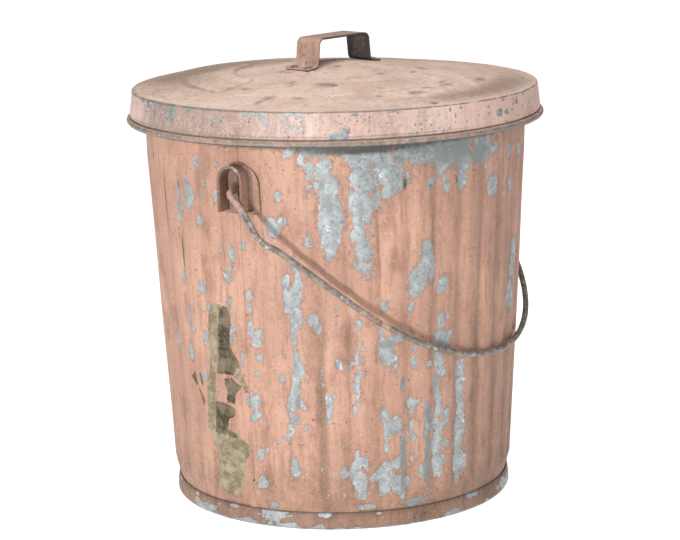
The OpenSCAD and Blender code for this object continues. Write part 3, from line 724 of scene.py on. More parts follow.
SCRAPS = (
    Scrap(((215, -42.2, -38.9), (203, -44.4, -40.1), (183, -45.5, -40.9), (162, -46, -41.8),
           (143, -46.4, -42.8), (132, -47.5, -43.8), (114, -48.1, -44.1), (93, -48.7, -45.4),
           (82, -47.4, -46.7))),
    Scrap(((87, -46.6, -35), (80, -47, -31.4), (73, -47.3, -31.1), (69, -44.8, -31.7), (62, -44.8, -33.1),
           (48, -45, -33.4), (38, -46.2, -35.1), (29, -45.6, -36.6), (26, -41, -37.5))),
    Scrap(((155, -34.5, -32.6), (150, -35, -32), (146, -35.9, -31.2), (142, -32.6, -30.6),
           (133, -31.2, -29.9))),
    Scrap(((214, -38.7, -36.8), (206, -39.6, -35.5), (194, -40.2, -35.8), (187, -40.5, -36.7),
           (175, -41, -36.7), (166, -41.3, -34.3), (158, -41.7, -33), (148, -42.2, -36.1)), DARK_PAPER),
    Scrap(((143, -39.5, -36.5), (138, -39.3, -32.4), (129, -38.8, -35), (120, -39.3, -36)), DARK_PAPER),
    Scrap(((118, -43.9, -39.5), (113, -44.3, -36), (106, -44.8, -36.5), (103, -45, -38.5), (92, -45.5, -39.4),
           (86, -46, -34.8)), DARK_PAPER),
    Scrap(((141, -55.3, -53.8), (136, -56.1, -52.8), (130, -54.6, -52.5)), DARK_PAPER),
    Scrap(((143, -50.8, -50.1), (135, -50.4, -49.6), (132, -50, -49.4)), DARK_PAPER),
    Scrap(((126, -51.9, -51.2), (117, -50.5, -49.1), (111, -50, -49.7)), DARK_PAPER),
)


@dataclass(frozen=True)
class Can:
    """The can: wall, foot, bottom, ears and paper, in millimetres and degrees."""

    wall_top: float = 186.5
    wall_foot: float = 169.6
    neck: float = 165.2
    levels: Triple = (18.0, 34.0, 340.0)  # heights of neck, wall foot and wall top
    sheet: float = 0.8
    flutes: int = 39
    depth: float = 2.4
    flutes_start: Pair = (26.0, 40.0)     # heights over which they set in
    flutes_end: Pair = (340.0, 354.0)     # and run out
    strip: float = 3.4                    # plain wall beside the lap seam
    lap: Pair = (357.2, 357.7)            # angles over which the lap rises
    seam_turn: float = -1.2
    seam_run: float = 320.0
    seam_reach: float = 9.0
    dent: float = 0.3
    inset: float = 0.2
    pivot: float = 330.0
    hole: float = 3.4
    rim: Pair = (189.15, 401.45)
    rim_curl: Pair = (2.6, 3.35)          # inner and outer radius of the curl
    foot_roll: Pair = (164.45, 2.8)
    foot_curl: Pair = (2.35, 3.15)
    bottom: float = 13.8

    def ridge(self, height: np.ndarray) -> np.ndarray:
        """Radius of the wall over its ridges: straight between three heights."""
        return np.interp(height, self.levels, (self.neck, self.wall_foot, self.wall_top))

    def drift(self, turn: np.ndarray, height: np.ndarray) -> np.ndarray:
        """How far a place has turned with the leaning lap seam: the seam's own turn at
        that height, times e to the minus (angle from the seam / reach) squared."""
        seam = self.seam_turn * np.clip((self.levels[2] - height) / self.seam_run, 0, 1)
        return seam * np.exp(-(around(turn) / self.seam_reach) ** 2)

    def radius(self, turn: np.ndarray, height: np.ndarray) -> np.ndarray:
        """Outer radius of the wall.

        The valleys are the ridges' radius less depth x fade x sin^4(pi x phase),
        where phase runs from 0 to 1 over each flute; the plain strip lies beside
        the lap, which is raised by a sheet's thickness. Shallow dents are added.

        Args:
            turn: angle from the seam, with the seam's own drift taken off.
            height: millimetres up.
        Returns:
            The radius, with the two arrays' shape together.
        """
        turn = turn % 360
        fluted = 360 - self.strip
        shape = np.where(turn < fluted, np.sin(np.pi * turn / (fluted / self.flutes)) ** 4, 0)
        fade = ease(height, *self.flutes_start) * (1 - ease(height, *self.flutes_end))
        lap = self.sheet * ease(turn, *self.lap)
        dents = self.dent * sway(turn, height, length=70, seed=3)
        return self.ridge(height) - self.depth * fade * shape + lap + dents - self.inset

    def unturned(self, angle: np.ndarray, height: np.ndarray) -> np.ndarray:
        """Takes the seam's drift off an angle, by eight steps towards the fixed point."""
        turn = angle
        for _ in range(8):
            turn = angle - self.drift(turn, height)
        return turn

    def columns(self) -> np.ndarray:
        """Angles of the wall's grid: close together in view and at the pins."""
        many, few, in_view, at_pin = 22, 8, 96, 5
        fluted = 360 - self.strip
        flute = np.arange(self.flutes)
        middle = (flute + 0.5) * fluted / self.flutes
        close = (abs(around(middle - VIEW_FROM_EAR)) < in_view) | (abs(around(middle - 180)) < at_pin)
        parts = [np.linspace(k, k + 1, many if near else few, endpoint=False)
                 for k, near in zip(flute, close)]
        strip = [fluted, 357.0, *self.lap, 358.2, 358.8, 359.4, 359.85]
        return np.concatenate([np.concatenate(parts) * fluted / self.flutes, strip])

    def wall_wear(self, angle: np.ndarray, height: np.ndarray, valley: np.ndarray) -> dict[str, np.ndarray]:
        """What has happened to the wall's paint.

        Dirt lies in the valleys and in runs, and the paint is darker towards the
        foot. It is darker on the right too, partly dirt and partly painted shade for
        light falling from the left. Soot lies in runs, and painted shadow lies under
        the lid's edge, reaching lower down in the middle of the view.

        Args:
            angle: degrees from the ear.
            height: millimetres up.
            valley: depth in a flute's valley, from 0 to 1.
        Returns:
            The values to be stored, by name.
        """
        side = around(angle - VIEW_FROM_EAR)
        back = scattered(seed=11, count=150, angle=(95, 265), height=(20, 385), across=(0.8, 5), up=(3, 26))
        chips, kept, stain, soot, dirt = (marked(marks, angle, height, VIEW_FROM_EAR)
                                          for marks in ((*CHIPS, *back), ISLANDS, STAINS, SOOT, DIRT))
        grime = 0.22 * valley + 0.3 * (1 - ease(height, 15, 80)) + 0.3 * (1 - ease(height, 40, 260))
        # The right side is darker, partly dirt and partly painted shade for light from the left
        grime = grime + 0.14 * flank(side, 15, 75) + 0.55 * dirt
        # Painted shadow: a dark band just under the lid's bead all round, reaching lower in the middle of the
        # view
        painted_shadow = np.maximum(0.75 * ease(height, 358, 366) * np.exp(-((side - 6) / 24) ** 2),
                           0.85 * ease(height, 366.5, 370)) * (1 - ease(height, 372.5, 375.5))
        return {"loss": np.minimum(chips, 1 - kept), "grime": grime, "stain": stain,
                "soot": np.maximum(soot, painted_shadow)}

    def wall(self) -> bpy.types.Object:
        """The wall, from its neck to the rolled rim, and its chips."""
        # Rows lie close together where the flutes set in and run out
        up = np.concatenate([[7, 12, 17.5], np.linspace(18, 40, 12), np.linspace(45, 330, 56),
                             np.linspace(334, 360, 11), np.linspace(366, 398, 6)])[:, None]
        down = up[::-4]
        turn = self.columns()[None, :]
        curl = np.concatenate([bow(self.rim, self.rim_curl[0], 180, -138, 14),
                               bow(self.rim, self.rim_curl[1], -138, 180, 16)])
        round_rim = np.broadcast_to(curl[:, :1], (len(curl), turn.size))
        radius = np.concatenate([self.radius(turn, up), round_rim, self.radius(turn, down) - self.sheet])
        height = np.concatenate([up, curl[:, 1:], down])
        angle = turn + self.drift(turn, height)
        wear = self.wall_wear(angle, height, np.clip((self.ridge(height) - radius) / self.depth, 0, 1))
        inside = np.arange(len(height)) >= len(up) + len(curl)
        wear["loss"][inside] = 1
        skin = skin_of(revolved(radius, height, angle + EAR_ANGLE), ring=True, **wear)
        made = piece("can_wall", [skin], Body.CAN, WALL_PAINT.material(), ("side_wall",))
        return self.bored(made)

    def bored(self, wall: bpy.types.Object) -> bpy.types.Object:
        """Cuts the pin's two holes into the wall.

        Args:
            wall: the wall's object.
        Returns:
            The same object, with the cut mesh.
        """
        past_wall = 210
        circle = bow((0, self.pivot), self.hole, 0, 352.5, 48)
        ends = [np.insert(circle, 0, x, axis=1) for x in (-past_wall, past_wall)]
        bore = skin_of(np.stack(ends), ring=False)
        cutter = piece("bore", [bore], Body.CAN, wall.data.materials[0])
        cut = wall.modifiers.new("bore", "BOOLEAN")
        cut.operation, cut.object, cut.solver = "DIFFERENCE", cutter, "EXACT"
        bpy.context.view_layer.update()
        done = bpy.data.meshes.new_from_object(wall.evaluated_get(bpy.context.evaluated_depsgraph_get()))
        wall.modifiers.clear()
        wall.data = done
        bpy.data.objects.remove(cutter)
        return wall

    def foot(self) -> bpy.types.Object:
        """The band round the foot, rolled inward over its wire and worn flat below."""
        angle = np.arange(0, 360, 1.25)[None, :]
        outer = resampled(np.array([(166.05, 17), (166.8, 12.7), (167.45, 7.6)]), step=1.2)
        inner = resampled(np.array([(166.7, 7), (165.95, 12.5), (165.25, 17)]), step=1.6)
        line = np.concatenate([outer, bow(self.foot_roll, self.foot_curl[1], 0, -210, 22),
                               bow(self.foot_roll, self.foot_curl[0], -210, 0, 16), inner])
        height = np.maximum(line[:, 1:], 0)
        radius = line[:, :1] + 0.15 * sway(angle, line[:, 1:], length=40, seed=8) - 0.12
        chips = scattered(seed=21, count=90, angle=(0, 360), height=(0, 16), across=(0.6, 4), up=(1, 4))
        spill = marked(((26.5, 8, 3.6, 7),), angle, height, VIEW_FROM_EAR)
        skin = skin_of(revolved(radius, height, angle + EAR_ANGLE), ring=True, stain=0.2,
                       loss=marked(chips, angle, height) + 0.55 * (1 - ease(height, 1.0, 4.0)),
                       grime=0.35 + 0.3 * ease(height, 9, 16),
                       soot=np.maximum(0.6 * ease(height, 14.6, 16), 0.6 * spill))
        return piece("can_foot", [skin], Body.CAN, FOOT_PAINT.material(), ("foot_band",))

    def pan(self) -> bpy.types.Object:
        """The flat bottom, turned down inside the neck."""
        out = self.neck - self.sheet - 0.05
        top = rounded([(4, self.bottom), (out, self.bottom), (out, 7)], [4])
        under = rounded([(out - self.sheet, 7), (out - self.sheet, 13), (4, 13)], [3.2])
        line = resampled(np.concatenate([top, under]), step=6)
        skin = skin_of(revolved(line[:, 0], line[:, 1], np.arange(0, 360, 2.5)), ring=False)
        return piece("can_bottom", [skin], Body.CAN, SHEET_ZINC.material(), ("bottom_pan",))

    def paper(self, name: str, finish: OldPaper) -> bpy.types.Object:
        """Torn paper that follows the wall, its ragged edges let into the paint.

        Args:
            name: the object's name.
            finish: the paper; the scraps of that paper are built.
        Returns:
            The object.
        """
        above, below, edge = 0.42, -0.1, 0.05
        share = np.concatenate([[0], np.linspace(0.03, 0.97, 26), [1]])
        lift = np.repeat([above, below], share.size)
        lift[[0, share.size - 1]] = edge
        share = np.concatenate([share, share[::-1]])[None, :]
        skins = []
        for count, scrap in enumerate(s for s in SCRAPS if s.finish is finish):
            draw = np.random.default_rng(count + 5)
            table = np.array(scrap.rows)[::-1]
            rows = max(12, int(np.ptp(table[:, 0]) / 1.1))
            height = np.linspace(table[0, 0], table[-1, 0], rows)[:, None]
            torn = [np.cumsum(draw.normal(0, 0.07, height.shape), axis=0) for _ in range(2)]
            left, right = (np.interp(height, table[:, 0], table[:, side])
                           + rag - np.linspace(0, rag[-1], rows) + draw.normal(0, 0.1, rag.shape)
                           for side, rag in zip((1, 2), torn))
            angle = left + (right - left) * share + VIEW_FROM_EAR
            ends = ease(abs(np.linspace(-1, 1, rows))[:, None], 0.8, 1)
            tall = height + ends * (0.9 * np.sin(angle * 4 + count) + 0.7 * np.sin(angle * 9.3))
            radius = self.radius(self.unturned(angle, tall), tall) + lift
            skins.append(skin_of(revolved(radius, tall, angle + EAR_ANGLE), ring=False))
        return piece(name, skins, Body.CAN, finish.material())

    def build(self) -> None:
        """Builds the can's pieces."""
        self.wall()
        self.foot()
        self.pan()
        Ear(self).build("ear_in_view", "ear_left", EAR_ANGLE)
        Ear(self).build("ear_at_back", "ear_right", EAR_ANGLE - 180)
        self.paper("paper_dry", PAPER)
        self.paper("paper_wet", DARK_PAPER)
        wire = WIRE_ZINC.material()
        for node in ("rim_wire", "foot_wire", "lid_wire"):
            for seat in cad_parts[node].material_slots:
                seat.material = wire


@dataclass(frozen=True)
class Ear:
    """An ear: a plate on the wall and a hood that is open in front and below.

    The plate is drawn as if unrolled: y across it and z up. The hood follows a
    path over the pin, and its section runs outward from the plate to the lip.
    """

    can: Can
    half: float = 21.0
    shoulder: float = 333.5
    foot: float = 306.2
    corner: float = 3.0
    thick: float = 1.2
    thick_at_edge: float = 0.95
    hood: float = 12.0
    hood_centre: float = 341.0
    hood_foot: float = 311.0
    reach: float = 203.7

    def outline(self) -> np.ndarray:
        """The plate's edge, torn a little along its foot."""
        wide, low, high = self.half, self.foot, self.shoulder
        shoulders = bow((0, high), wide, 0, 180, 40)
        sides = rounded([(-wide, high), (-wide, low), (wide, low), (wide, high)], [self.corner] * 2)[1:-1]
        edge = resampled(np.concatenate([shoulders, sides, shoulders[:1]]), step=1.6)[:-1]
        torn = 1 - ease(edge[:, 1], 307, 310)
        edge[:, 1] += torn * (0.8 + 0.8 * np.sin(edge[:, 0] * 1.1) * np.sin(edge[:, 0] * 0.37))
        return edge

    def plate(self) -> Skin:
        """The plate, from the pin's hole out to its edge, in front and behind."""
        edge = self.outline()
        pin = np.array([0, self.can.pivot])
        away = edge - pin
        hole = pin + self.can.hole * away / np.linalg.norm(away, axis=1, keepdims=True)
        share = np.array([0, 0.03, 0.1, 0.2, 0.35, 0.5, 0.65, 0.8, 0.9, 0.97, 1])
        share, lift = np.concatenate([share, share[::-1]]), np.repeat([self.thick, 0.0], share.size)
        lift[[0, 10]] = self.thick_at_edge
        flat = hole + (edge - hole) * share[:, None, None]
        y, z = flat[..., 0], flat[..., 1]
        x = np.sqrt((self.can.ridge(z) + 0.1 + lift[:, None]) ** 2 - y ** 2)
        # Dirt and rust darken the plate under the hood and below it, with painted shade under the hood;
        # soot runs down its seam, and painted shade round the pin stands for the dark of its hole
        under_hood = (abs(y) < 11.5) & (z > 309)
        seam = np.exp(-(y / 1.5) ** 2) * ease(z, 306, 310) * (1 - ease(z, 345, 349))
        painted_hole_shade = 1.1 * (1 - ease(np.hypot(y + 1.5, z - self.can.pivot - 1.5), 3.5, 7))
        return skin_of(np.stack([x, y, z], -1), ring=True, loss=0.3 * (share[:, None] < 0.1), stain=0,
                       grime=np.where(under_hood, 0.95, 0.3) + 0.6 * (z < 309),
                       soot=np.maximum(0.9 * seam, painted_hole_shade))

    def shell(self) -> Skin:
        """The hood: its section, carried along its path and out to the lip."""
        arch = bow((0, self.hood_centre), self.hood, 0, 180, 30)
        start, end = (self.hood, self.hood_foot), (-self.hood, self.hood_foot)
        path = resampled(np.concatenate([[start], arch, [end]]), step=2.5)
        # Share of the way out, and millimetres to the hood's outer side
        section = np.array([(-0.05, 3), (0.02, 3), (0.03, 1.5), (0.09, 0.5), (0.2, 0), (0.5, 0), (0.82, 0),
                            (0.88, 0.5), (0.94, 1.3), (0.98, 1.5), (1, 1.1), (0.985, 0.1), (1, -0.8),
                            (0.95, -1.4), (0.86, -1.5), (0.5, -1.2), (0.1, -1.2), (-0.05, -1.2)])
        share, aside = section[None, :, 0], section[None, :, 1:]
        place = path[:, None, :] + across_of(path)[:, None, :] * aside
        base = np.sqrt((self.can.ridge(place[..., 1]) + 1.3) ** 2 - place[..., 0] ** 2)
        out = base + (self.reach - base) * share
        lip = ease(share, 0.85, 0.95)
        # Painted shadow darkens the hood near the plate, its inner side is darker with dirt and painted
        # shade, and its lip is worn and dirty
        return skin_of(np.concatenate([out[..., None], place], -1), ring=False, loss=0.3 * lip, stain=0.35,
                       grime=np.where(aside[..., 0] < 0, 0.8, 0.3) + 0.7 * lip,
                       soot=0.55 * (1 - ease(share, 0.1, 0.6)))

    def build(self, name: str, node: str, angle: float) -> bpy.types.Object:
        """Builds one ear.

        Args:
            name: the object's name.
            node: the CAD node that it stands for.
            angle: angle from the X axis that it is turned to.
        Returns:
            The object.
        """
        turn = Matrix.Rotation(radians(angle), 4, "Z")
        skins = [self.plate().placed(turn), self.shell().placed(turn)]
        return piece(name, skins, Body.CAN, EAR_PAINT.material(), (node,))


@dataclass(frozen=True)
class Bail:
    """The bail: one wire through both ears, with a hook inside the can.

    The steps lead from the wire's end to the middle of the bow: each is the
    length of a straight stretch, or the radius and the angle of a bend.
    """

    radius: float = 3.0
    start: Pair = (175.0, -15.0)
    steps: tuple[tuple[float, ...], ...] = (
        (8,), (7, 90), (18.448,), (7, -90), (9,), (25, 20), (25,), (16, -70), (1.705,), (25, 23),
        (82.04,), (188.551, -63),
    )
    pivot: float = 330.0
    rest: float = 44.2507
    wear: float = 0.06

    def stations(self) -> np.ndarray:
        """Places and headings along one arm: a straight stretch, or a bend of a
        radius through an angle, by sines and cosines of the heading."""
        at, line = np.array([*self.start, 0.0]), []
        for step in self.steps:
            if len(step) == 1:
                count = max(2, int(step[0] / 3))
                gone = np.linspace(0, step[0], count)[:, None]
                part = at + gone * np.array([sin(at[2]), cos(at[2]), 0])
            else:
                turn = radians(step[1])
                heading = at[2] + np.linspace(0, turn, max(6, int(abs(step[0] * turn) / 2.5)))
                radius = step[0] * np.sign(turn)
                part = np.stack([at[0] + radius * (cos(at[2]) - np.cos(heading)),
                                 at[1] + radius * (np.sin(heading) - sin(at[2])), heading], -1)
            line.append(part[:-1])
            at = part[-1]
        return np.concatenate([*line, at[None]])

    def build(self) -> None:
        """Sweeps the wire along both arms and hangs it on the pins."""
        arm = self.stations()
        other = arm[-2::-1] * (-1, 1, -1) + (0, 0, np.pi)
        line = np.concatenate([arm, other])
        gone = np.concatenate([[0], np.cumsum(np.hypot(*np.diff(line[:, :2], axis=0).T))])[:, None]
        turn = np.linspace(0, 2 * np.pi, 14, endpoint=False)[None, :]
        radius = self.radius - self.wear * (1 + sway(np.degrees(turn), gone, length=30, seed=5))
        x, y, heading = (line[:, k:k + 1] for k in range(3))
        grid = np.stack([x + radius * np.cos(turn) * np.cos(heading),
                         y - radius * np.cos(turn) * np.sin(heading), radius * np.sin(turn)], -1)
        from_end = np.minimum(gone, gone[-1] - gone)
        skin = skin_of(grid, ring=False, loss=0.12 + 0.5 * ease(from_end, 25, 70), grime=0.2, stain=0)
        place = Matrix.Translation((0, 0, self.pivot)) @ Matrix.Rotation(radians(180 + self.rest), 4, "X")
        piece("bail_wire", [skin.placed(place)], Body.BAIL, WIRE_PAINT.material(), ("bail",))


@dataclass(frozen=True)
class Lid:
    """The lid: its top with four pressed panels, skirt, strap handle and rivets."""

    radius: float = 199.0
    edge: float = 404.687
    rise: float = 24.5
    crown: float = 14.0                        # radius of the flat middle
    turn: float = -14.0                        # angle of the handle from the frame's X axis
    sheet: float = 0.8
    flange_gap: float = 0.85
    flange_deep: float = 6.0
    panel: Pair = (97.0, 147.0)                # inner and outer radius of the panels
    corner: float = 7.0
    spoke: float = 14.0                        # half the width left plain between them
    panel_rise: float = 2.5
    bevel: float = 4.5
    bead: Pair = (202.05, 375.937)
    bead_curl: Pair = (2.15, 2.95)             # inner and outer radius of the curl
    strap: Pair = (30.0, 1.6)                  # width and thickness
    strap_out: Triple = (52.4, 38.5, 35.75)    # half lengths at toes, heels and top
    strap_top: float = 452.947
    strap_bends: Pair = (4.4, 6.2)
    rivet: Pair = (46.2, 9.0)                  # place along and across the strap

    def cone(self, radius: np.ndarray) -> np.ndarray:
        """Height of the cone: a straight slope outside the flat crown."""
        return self.edge + (self.radius - np.maximum(radius, self.crown)) * self.rise / self.radius

    def inside_panel(self, radius: np.ndarray, angle: np.ndarray) -> np.ndarray:
        """Distance to the nearest panel's outline, negative inside.

        It is the distance to a rectangle with rounded corners, one of whose
        widths runs between two arcs and the other between the plain spokes,
        which keep their width.

        Args:
            radius: distance from the centre.
            angle: angle from the handle's line.
        Returns:
            Millimetres.
        """
        low, high = self.panel
        turn = np.radians(angle)
        across = self.spoke - radius * np.minimum(abs(np.sin(turn)), abs(np.cos(turn))) + self.corner
        along = abs(radius - (low + high) / 2) - (high - low) / 2 + self.corner
        return (np.hypot(np.maximum(across, 0), np.maximum(along, 0))
                + np.minimum(np.maximum(across, along), 0) - self.corner)

    def creases(self, side: np.ndarray, radius: np.ndarray) -> np.ndarray:
        """Height of the top's creases: for each e to the minus (distance / width) squared.

        Args:
            side: angle from the middle of the view.
            radius: distance from the centre.
        Returns:
            Millimetres.
        """
        turn = np.radians(side)
        place = np.stack(np.broadcast_arrays(radius * np.cos(turn), radius * np.sin(turn)), -1)
        total = np.zeros(place.shape[:-1])
        for start_side, start_out, end_side, end_out, width, height in FOLDS:
            start, end = (out * np.array([cos(radians(degrees)), sin(radians(degrees))])
                          for degrees, out in ((start_side, start_out), (end_side, end_out)))
            way = end - start
            share = np.clip((place - start) @ way / (way @ way), 0, 1)
            apart = np.linalg.norm(place - start - share[..., None] * way, axis=-1)
            total = total + height * np.exp(-(apart / width) ** 2)
        return total

    def from_view(self, angle: np.ndarray) -> np.ndarray:
        """Turns an angle from the handle's line into one from the middle of the view."""
        return around(angle + self.turn + EAR_ANGLE - VIEW_FROM_EAR)

    def blurred(self, side: np.ndarray) -> np.ndarray:
        """How soft the panels' edges are: from 0 on the view's left to 1 elsewhere."""
        sharp_middle, sharp_to, blurred_from = -88, 30, 55
        return ease(abs(side - sharp_middle), sharp_to, blurred_from)

    def raised(self, radius: np.ndarray, angle: np.ndarray) -> np.ndarray:
        """Height of the top: the cone with its pressed panels, a swelling behind on
        the view's left, creases and a gentle unevenness.

        Args:
            radius: distance from the centre.
            angle: angle from the handle's line.
        Returns:
            Millimetres.
        """
        side = self.from_view(angle)
        blurred = self.blurred(side)
        inside = self.inside_panel(radius, angle)
        pressed = self.panel_rise * (1 - ease(inside, -self.bevel - 4 * blurred, 0.5 + 2 * blurred))
        swell_side, swell_out = -150, 172
        swell = 3.2 * np.exp(-(around(side - swell_side) / 26) ** 4 - ((radius - swell_out) / 24) ** 4)
        height = self.cone(radius) + pressed * (1 - 0.55 * blurred) + swell + self.creases(side, radius)
        return height + 0.35 * sway(angle, radius, length=60, seed=12) * ease(190 - radius, 0, 30)

    def top_dirt(self, radius: np.ndarray, angle: np.ndarray) -> np.ndarray:
        """Darkening of the top: dirt in smudges and behind the middle; darker along the
        panels' edges, most on the view's left, and darker on the view's right and
        lighter on its left.

        Args:
            radius: distance from the centre.
            angle: angle from the handle's line.
        Returns:
            How dark it is, rows by columns.
        """
        side = self.from_view(angle)
        blurred = self.blurred(side)
        inside = self.inside_panel(radius, angle)
        lines = np.exp(-(inside / (2.2 + 2 * blurred)) ** 2) * (1 - 0.75 * blurred)
        behind = ease(-radius * np.cos(np.radians(side)), -5, 45) * (1 - flank(side, 60, 100))
        return (0.2 + 0.5 * lines + 0.9 * marked(SMUDGES, side, radius) + 0.4 * behind
                - 0.1 * flank(-side, 25, 80) + 0.1 * flank(side, 40, 90))

    def top(self) -> bpy.types.Object:
        """The lid's top with its flange inside the skirt."""
        # Columns and rows lie close together where the panels' edges pass
        quarter = np.concatenate([
            np.linspace(0, 4, 4, endpoint=False), np.linspace(4, 13, 22, endpoint=False),
            np.linspace(13, 77, 76, endpoint=False), np.linspace(77, 86, 22, endpoint=False),
            np.linspace(86, 90, 4, endpoint=False),
        ])
        angle = np.concatenate([quarter + 90 * k for k in range(4)])[None, :]
        flange = self.radius - self.flange_gap
        rise = np.concatenate([np.linspace(2, 88, 34), np.linspace(90, 110, 16), np.linspace(112, 132, 10),
                               np.linspace(133.5, 154, 18), np.linspace(156, 190, 18), [194, 196.5, flange]])
        within = flange - self.sheet
        radius = np.concatenate([rise, [flange, flange, within, within], rise[-3::-3]])[:, None]
        under = np.arange(radius.size)[:, None] > rise.size + 1
        height = self.raised(radius, angle) - self.sheet * under
        height[rise.size] -= self.flange_deep / 2
        height[rise.size + 1:rise.size + 3] = self.cone(flange) - self.flange_deep
        chips = scattered(seed=31, count=40, angle=(0, 360), height=(60, 195),
                          across=(0.3, 1.2), up=(0.6, 2))
        skin = skin_of(revolved(radius, height, angle + self.turn), ring=False, stain=0.8,
                       loss=np.where(under, 1.0, marked(chips, angle, radius)),
                       grime=self.top_dirt(radius, angle))
        return piece("lid_panel", [skin], Body.LID, TOP_PAINT.material(), ("lid_top",))

    def skirt_line(self) -> tuple[np.ndarray, np.ndarray]:
        """Profile of the skirt: over the fold, down outside, round the bead and up inside.

        Returns:
            The line's points, and for each whether it is outside.
        """
        fold = self.edge + 0.25
        outer = rounded([(195.6, fold + 0.35), (199, fold), (201.8, 380.9), (199.9, 378.7),
                         (199.85, 376)], bends=[0.9, 1.6, 1.2], count=6)
        inner = rounded([(199.1, 376), (199.1, 378.7), (201, 380.9), (198.2, fold - 0.9),
                         (195.6, fold - 0.4)], bends=[1.2, 1.6, 0.5], count=4)
        outer = resampled(outer, step=0.75)
        line = np.concatenate([outer, bow(self.bead, self.bead_curl[0], 180, 500, 14),
                               bow(self.bead, self.bead_curl[1], 500, 180, 20), resampled(inner, step=4)])
        return line, np.arange(len(line))[:, None] < len(outer)

    def skirt_wear(self, radius: np.ndarray, height: np.ndarray, angle: np.ndarray,
                   outside: np.ndarray) -> dict[str, np.ndarray]:
        """What has happened to the skirt's paint: it is worn off along the fold and
        the rolled foot, and dirt keeps to the grooves.

        Args:
            radius, height: of the profile's points.
            angle: degrees from the ear.
            outside: whether a point is outside.
        Returns:
            The values to be stored, by name.
        """
        side = around(angle - VIEW_FROM_EAR)
        line_top = ease(height, 403.5, 404.3) * ease(radius, 197.9, 198.5)
        hung = ease(height, 400.5, 404) * (0.4 * flank(-side, 20, 50) + 0.15 * flank(side, 35, 60))
        rolled = 1 - ease(height, 377.5, 379.2)
        outside_bead = ease(radius, 201.5, 203.5)
        behind = scattered(seed=41, count=90, angle=(85, 275), height=(380, 402),
                           across=(0.3, 1.6), up=(0.8, 3.5))
        specks = scattered(seed=42, count=130, angle=(-80, 80), height=(381, 403),
                           across=(0.1, 0.35), up=(0.3, 1.1))
        loss = marked((*SKIRT_CHIPS, *specks, *behind), angle, height, VIEW_FROM_EAR)
        loss = np.maximum(loss + hung, np.maximum(0.62 * line_top, 0.47 * rolled))
        low_groove, high_groove = 379.2, 382.4
        groove = (np.exp(-((height - low_groove) / 0.8) ** 2)
                  + 0.5 * np.exp(-((height - high_groove) / 0.6) ** 2))
        # Painted shade darkens the view's left flank of the skirt, and painted light lightens the far left
        # and the right
        sides = 0.35 * flank(-side, 4, 40) - 0.8 * flank(-side, 56, 82) - 0.8 * flank(side, 20, 50)
        return {
            "loss": np.where(outside | (rolled > 0), loss, 1.0),
            "grime": 0.55 + 0.8 * rolled + groove + 0.3 * line_top + sides * (1 - rolled),
            "stain": 0.9 * rolled + 0.8 * line_top,
            # Painted shade on the underside of the bead, on its outer face
            "soot": 0.75 * rolled * (1 - ease(height, 373.6, 375.4)) * outside_bead,
        }

    def skirt(self) -> bpy.types.Object:
        """The skirt, folded over the top's edge and rolled at its foot."""
        angle = (np.concatenate([np.arange(-80, 80, 0.36), np.arange(80, 280, 2)]) + VIEW_FROM_EAR)[None, :]
        line, outside = self.skirt_line()
        radius, height = line[:, :1], line[:, 1:]
        bent = (0.5 * sway(angle, height, length=50, seed=17)
                * ease(height, 372, 390) * (1 - ease(height, 396, 404)))
        # The skirt's own lap seam lies a little to the left of the view's middle
        seam = -4.5
        lap = 0.7 * np.exp(-((around(angle - VIEW_FROM_EAR) - seam) / 0.5) ** 2) * ease(height, 379, 383)
        skin = skin_of(revolved(radius + (bent + lap) * outside - 0.1, height, angle + EAR_ANGLE), ring=True,
                       **self.skirt_wear(radius, height, angle, outside))
        return piece("lid_skirt_band", [skin], Body.LID, SKIRT_PAINT.material(),
                     ("lid_skirt",))

    def arch(self) -> np.ndarray:
        """Middle line of the strap, from one foot over the arch to the other."""
        half = self.strap[1] / 2
        toe_out, heel_out, top_out = self.strap_out
        heel_out, top_out = heel_out - half, top_out - half
        toe, heel = (self.cone(np.array(x)) + 0.15 + half for x in (toe_out, heel_out))
        right = [(top_out, self.strap_top - half), (heel_out, heel), (toe_out, toe)]
        left = [(-x, z) for x, z in right[::-1]]
        small, large = self.strap_bends
        return resampled(rounded(left + right, [small, large, large, small], 10), step=2)

    def strap_section(self) -> np.ndarray:
        """Outline of the strap's section, its four edges slightly rounded."""
        wide, thick = self.strap[0] / 2, self.strap[1] / 2
        round_edge = bow((wide - 0.5, thick - 0.5), 0.5, 0, 90, 4)
        flat = np.stack([np.linspace(wide - 2, 2 - wide, 12), np.full(12, thick)], -1)
        half = np.concatenate([round_edge, flat, (round_edge * (-1, 1))[::-1]])
        return np.concatenate([half, -half])

    def grip_wear(self, across: np.ndarray, along: np.ndarray, below: np.ndarray) -> dict[str, np.ndarray]:
        """What has happened to the handle's paint: it is worn along the edges and dirty
        on the inner face, and painted shade lies along the crown's near edge and on
        the inner face.

        Args:
            across: millimetres from the strap's middle.
            along: millimetres along the strap.
            below: whether a point is on the inner face.
        Returns:
            The values to be stored, by name.
        """
        chips = scattered(seed=51, count=30, angle=(-15, 15), height=(0, 170),
                          across=(0.3, 1.1), up=(0.6, 2.2))
        loss = np.where(below, 0.5 - 0.4 * ease(across, 9, 12), marked(chips, across, along))
        edge = ease(abs(across), 13.6, 15)
        crown = ease(along, 38, 46) * (1 - ease(along, 108, 116))
        smudge = marked(((5, 24, 7, 4), (-4, 15, 9, 4), (6, 34, 6, 3)), across, along)
        inner = 0.7 * ease(-across, 3, 11) + 0.45 * (1 - ease(abs(along - 130), 6, 12))
        return {
            "loss": loss + 0.3 * edge,
            "grime": np.where(below, 1.3, 0.05 + 0.45 * smudge) + 0.5 * edge,
            "stain": np.where(below, 0.9, 0.2),
            # Painted shade along the crown's near edge and on the inner face
            "soot": np.where(below, inner, 0.8 * crown * ease(-across, 9.5, 12.5)),
        }

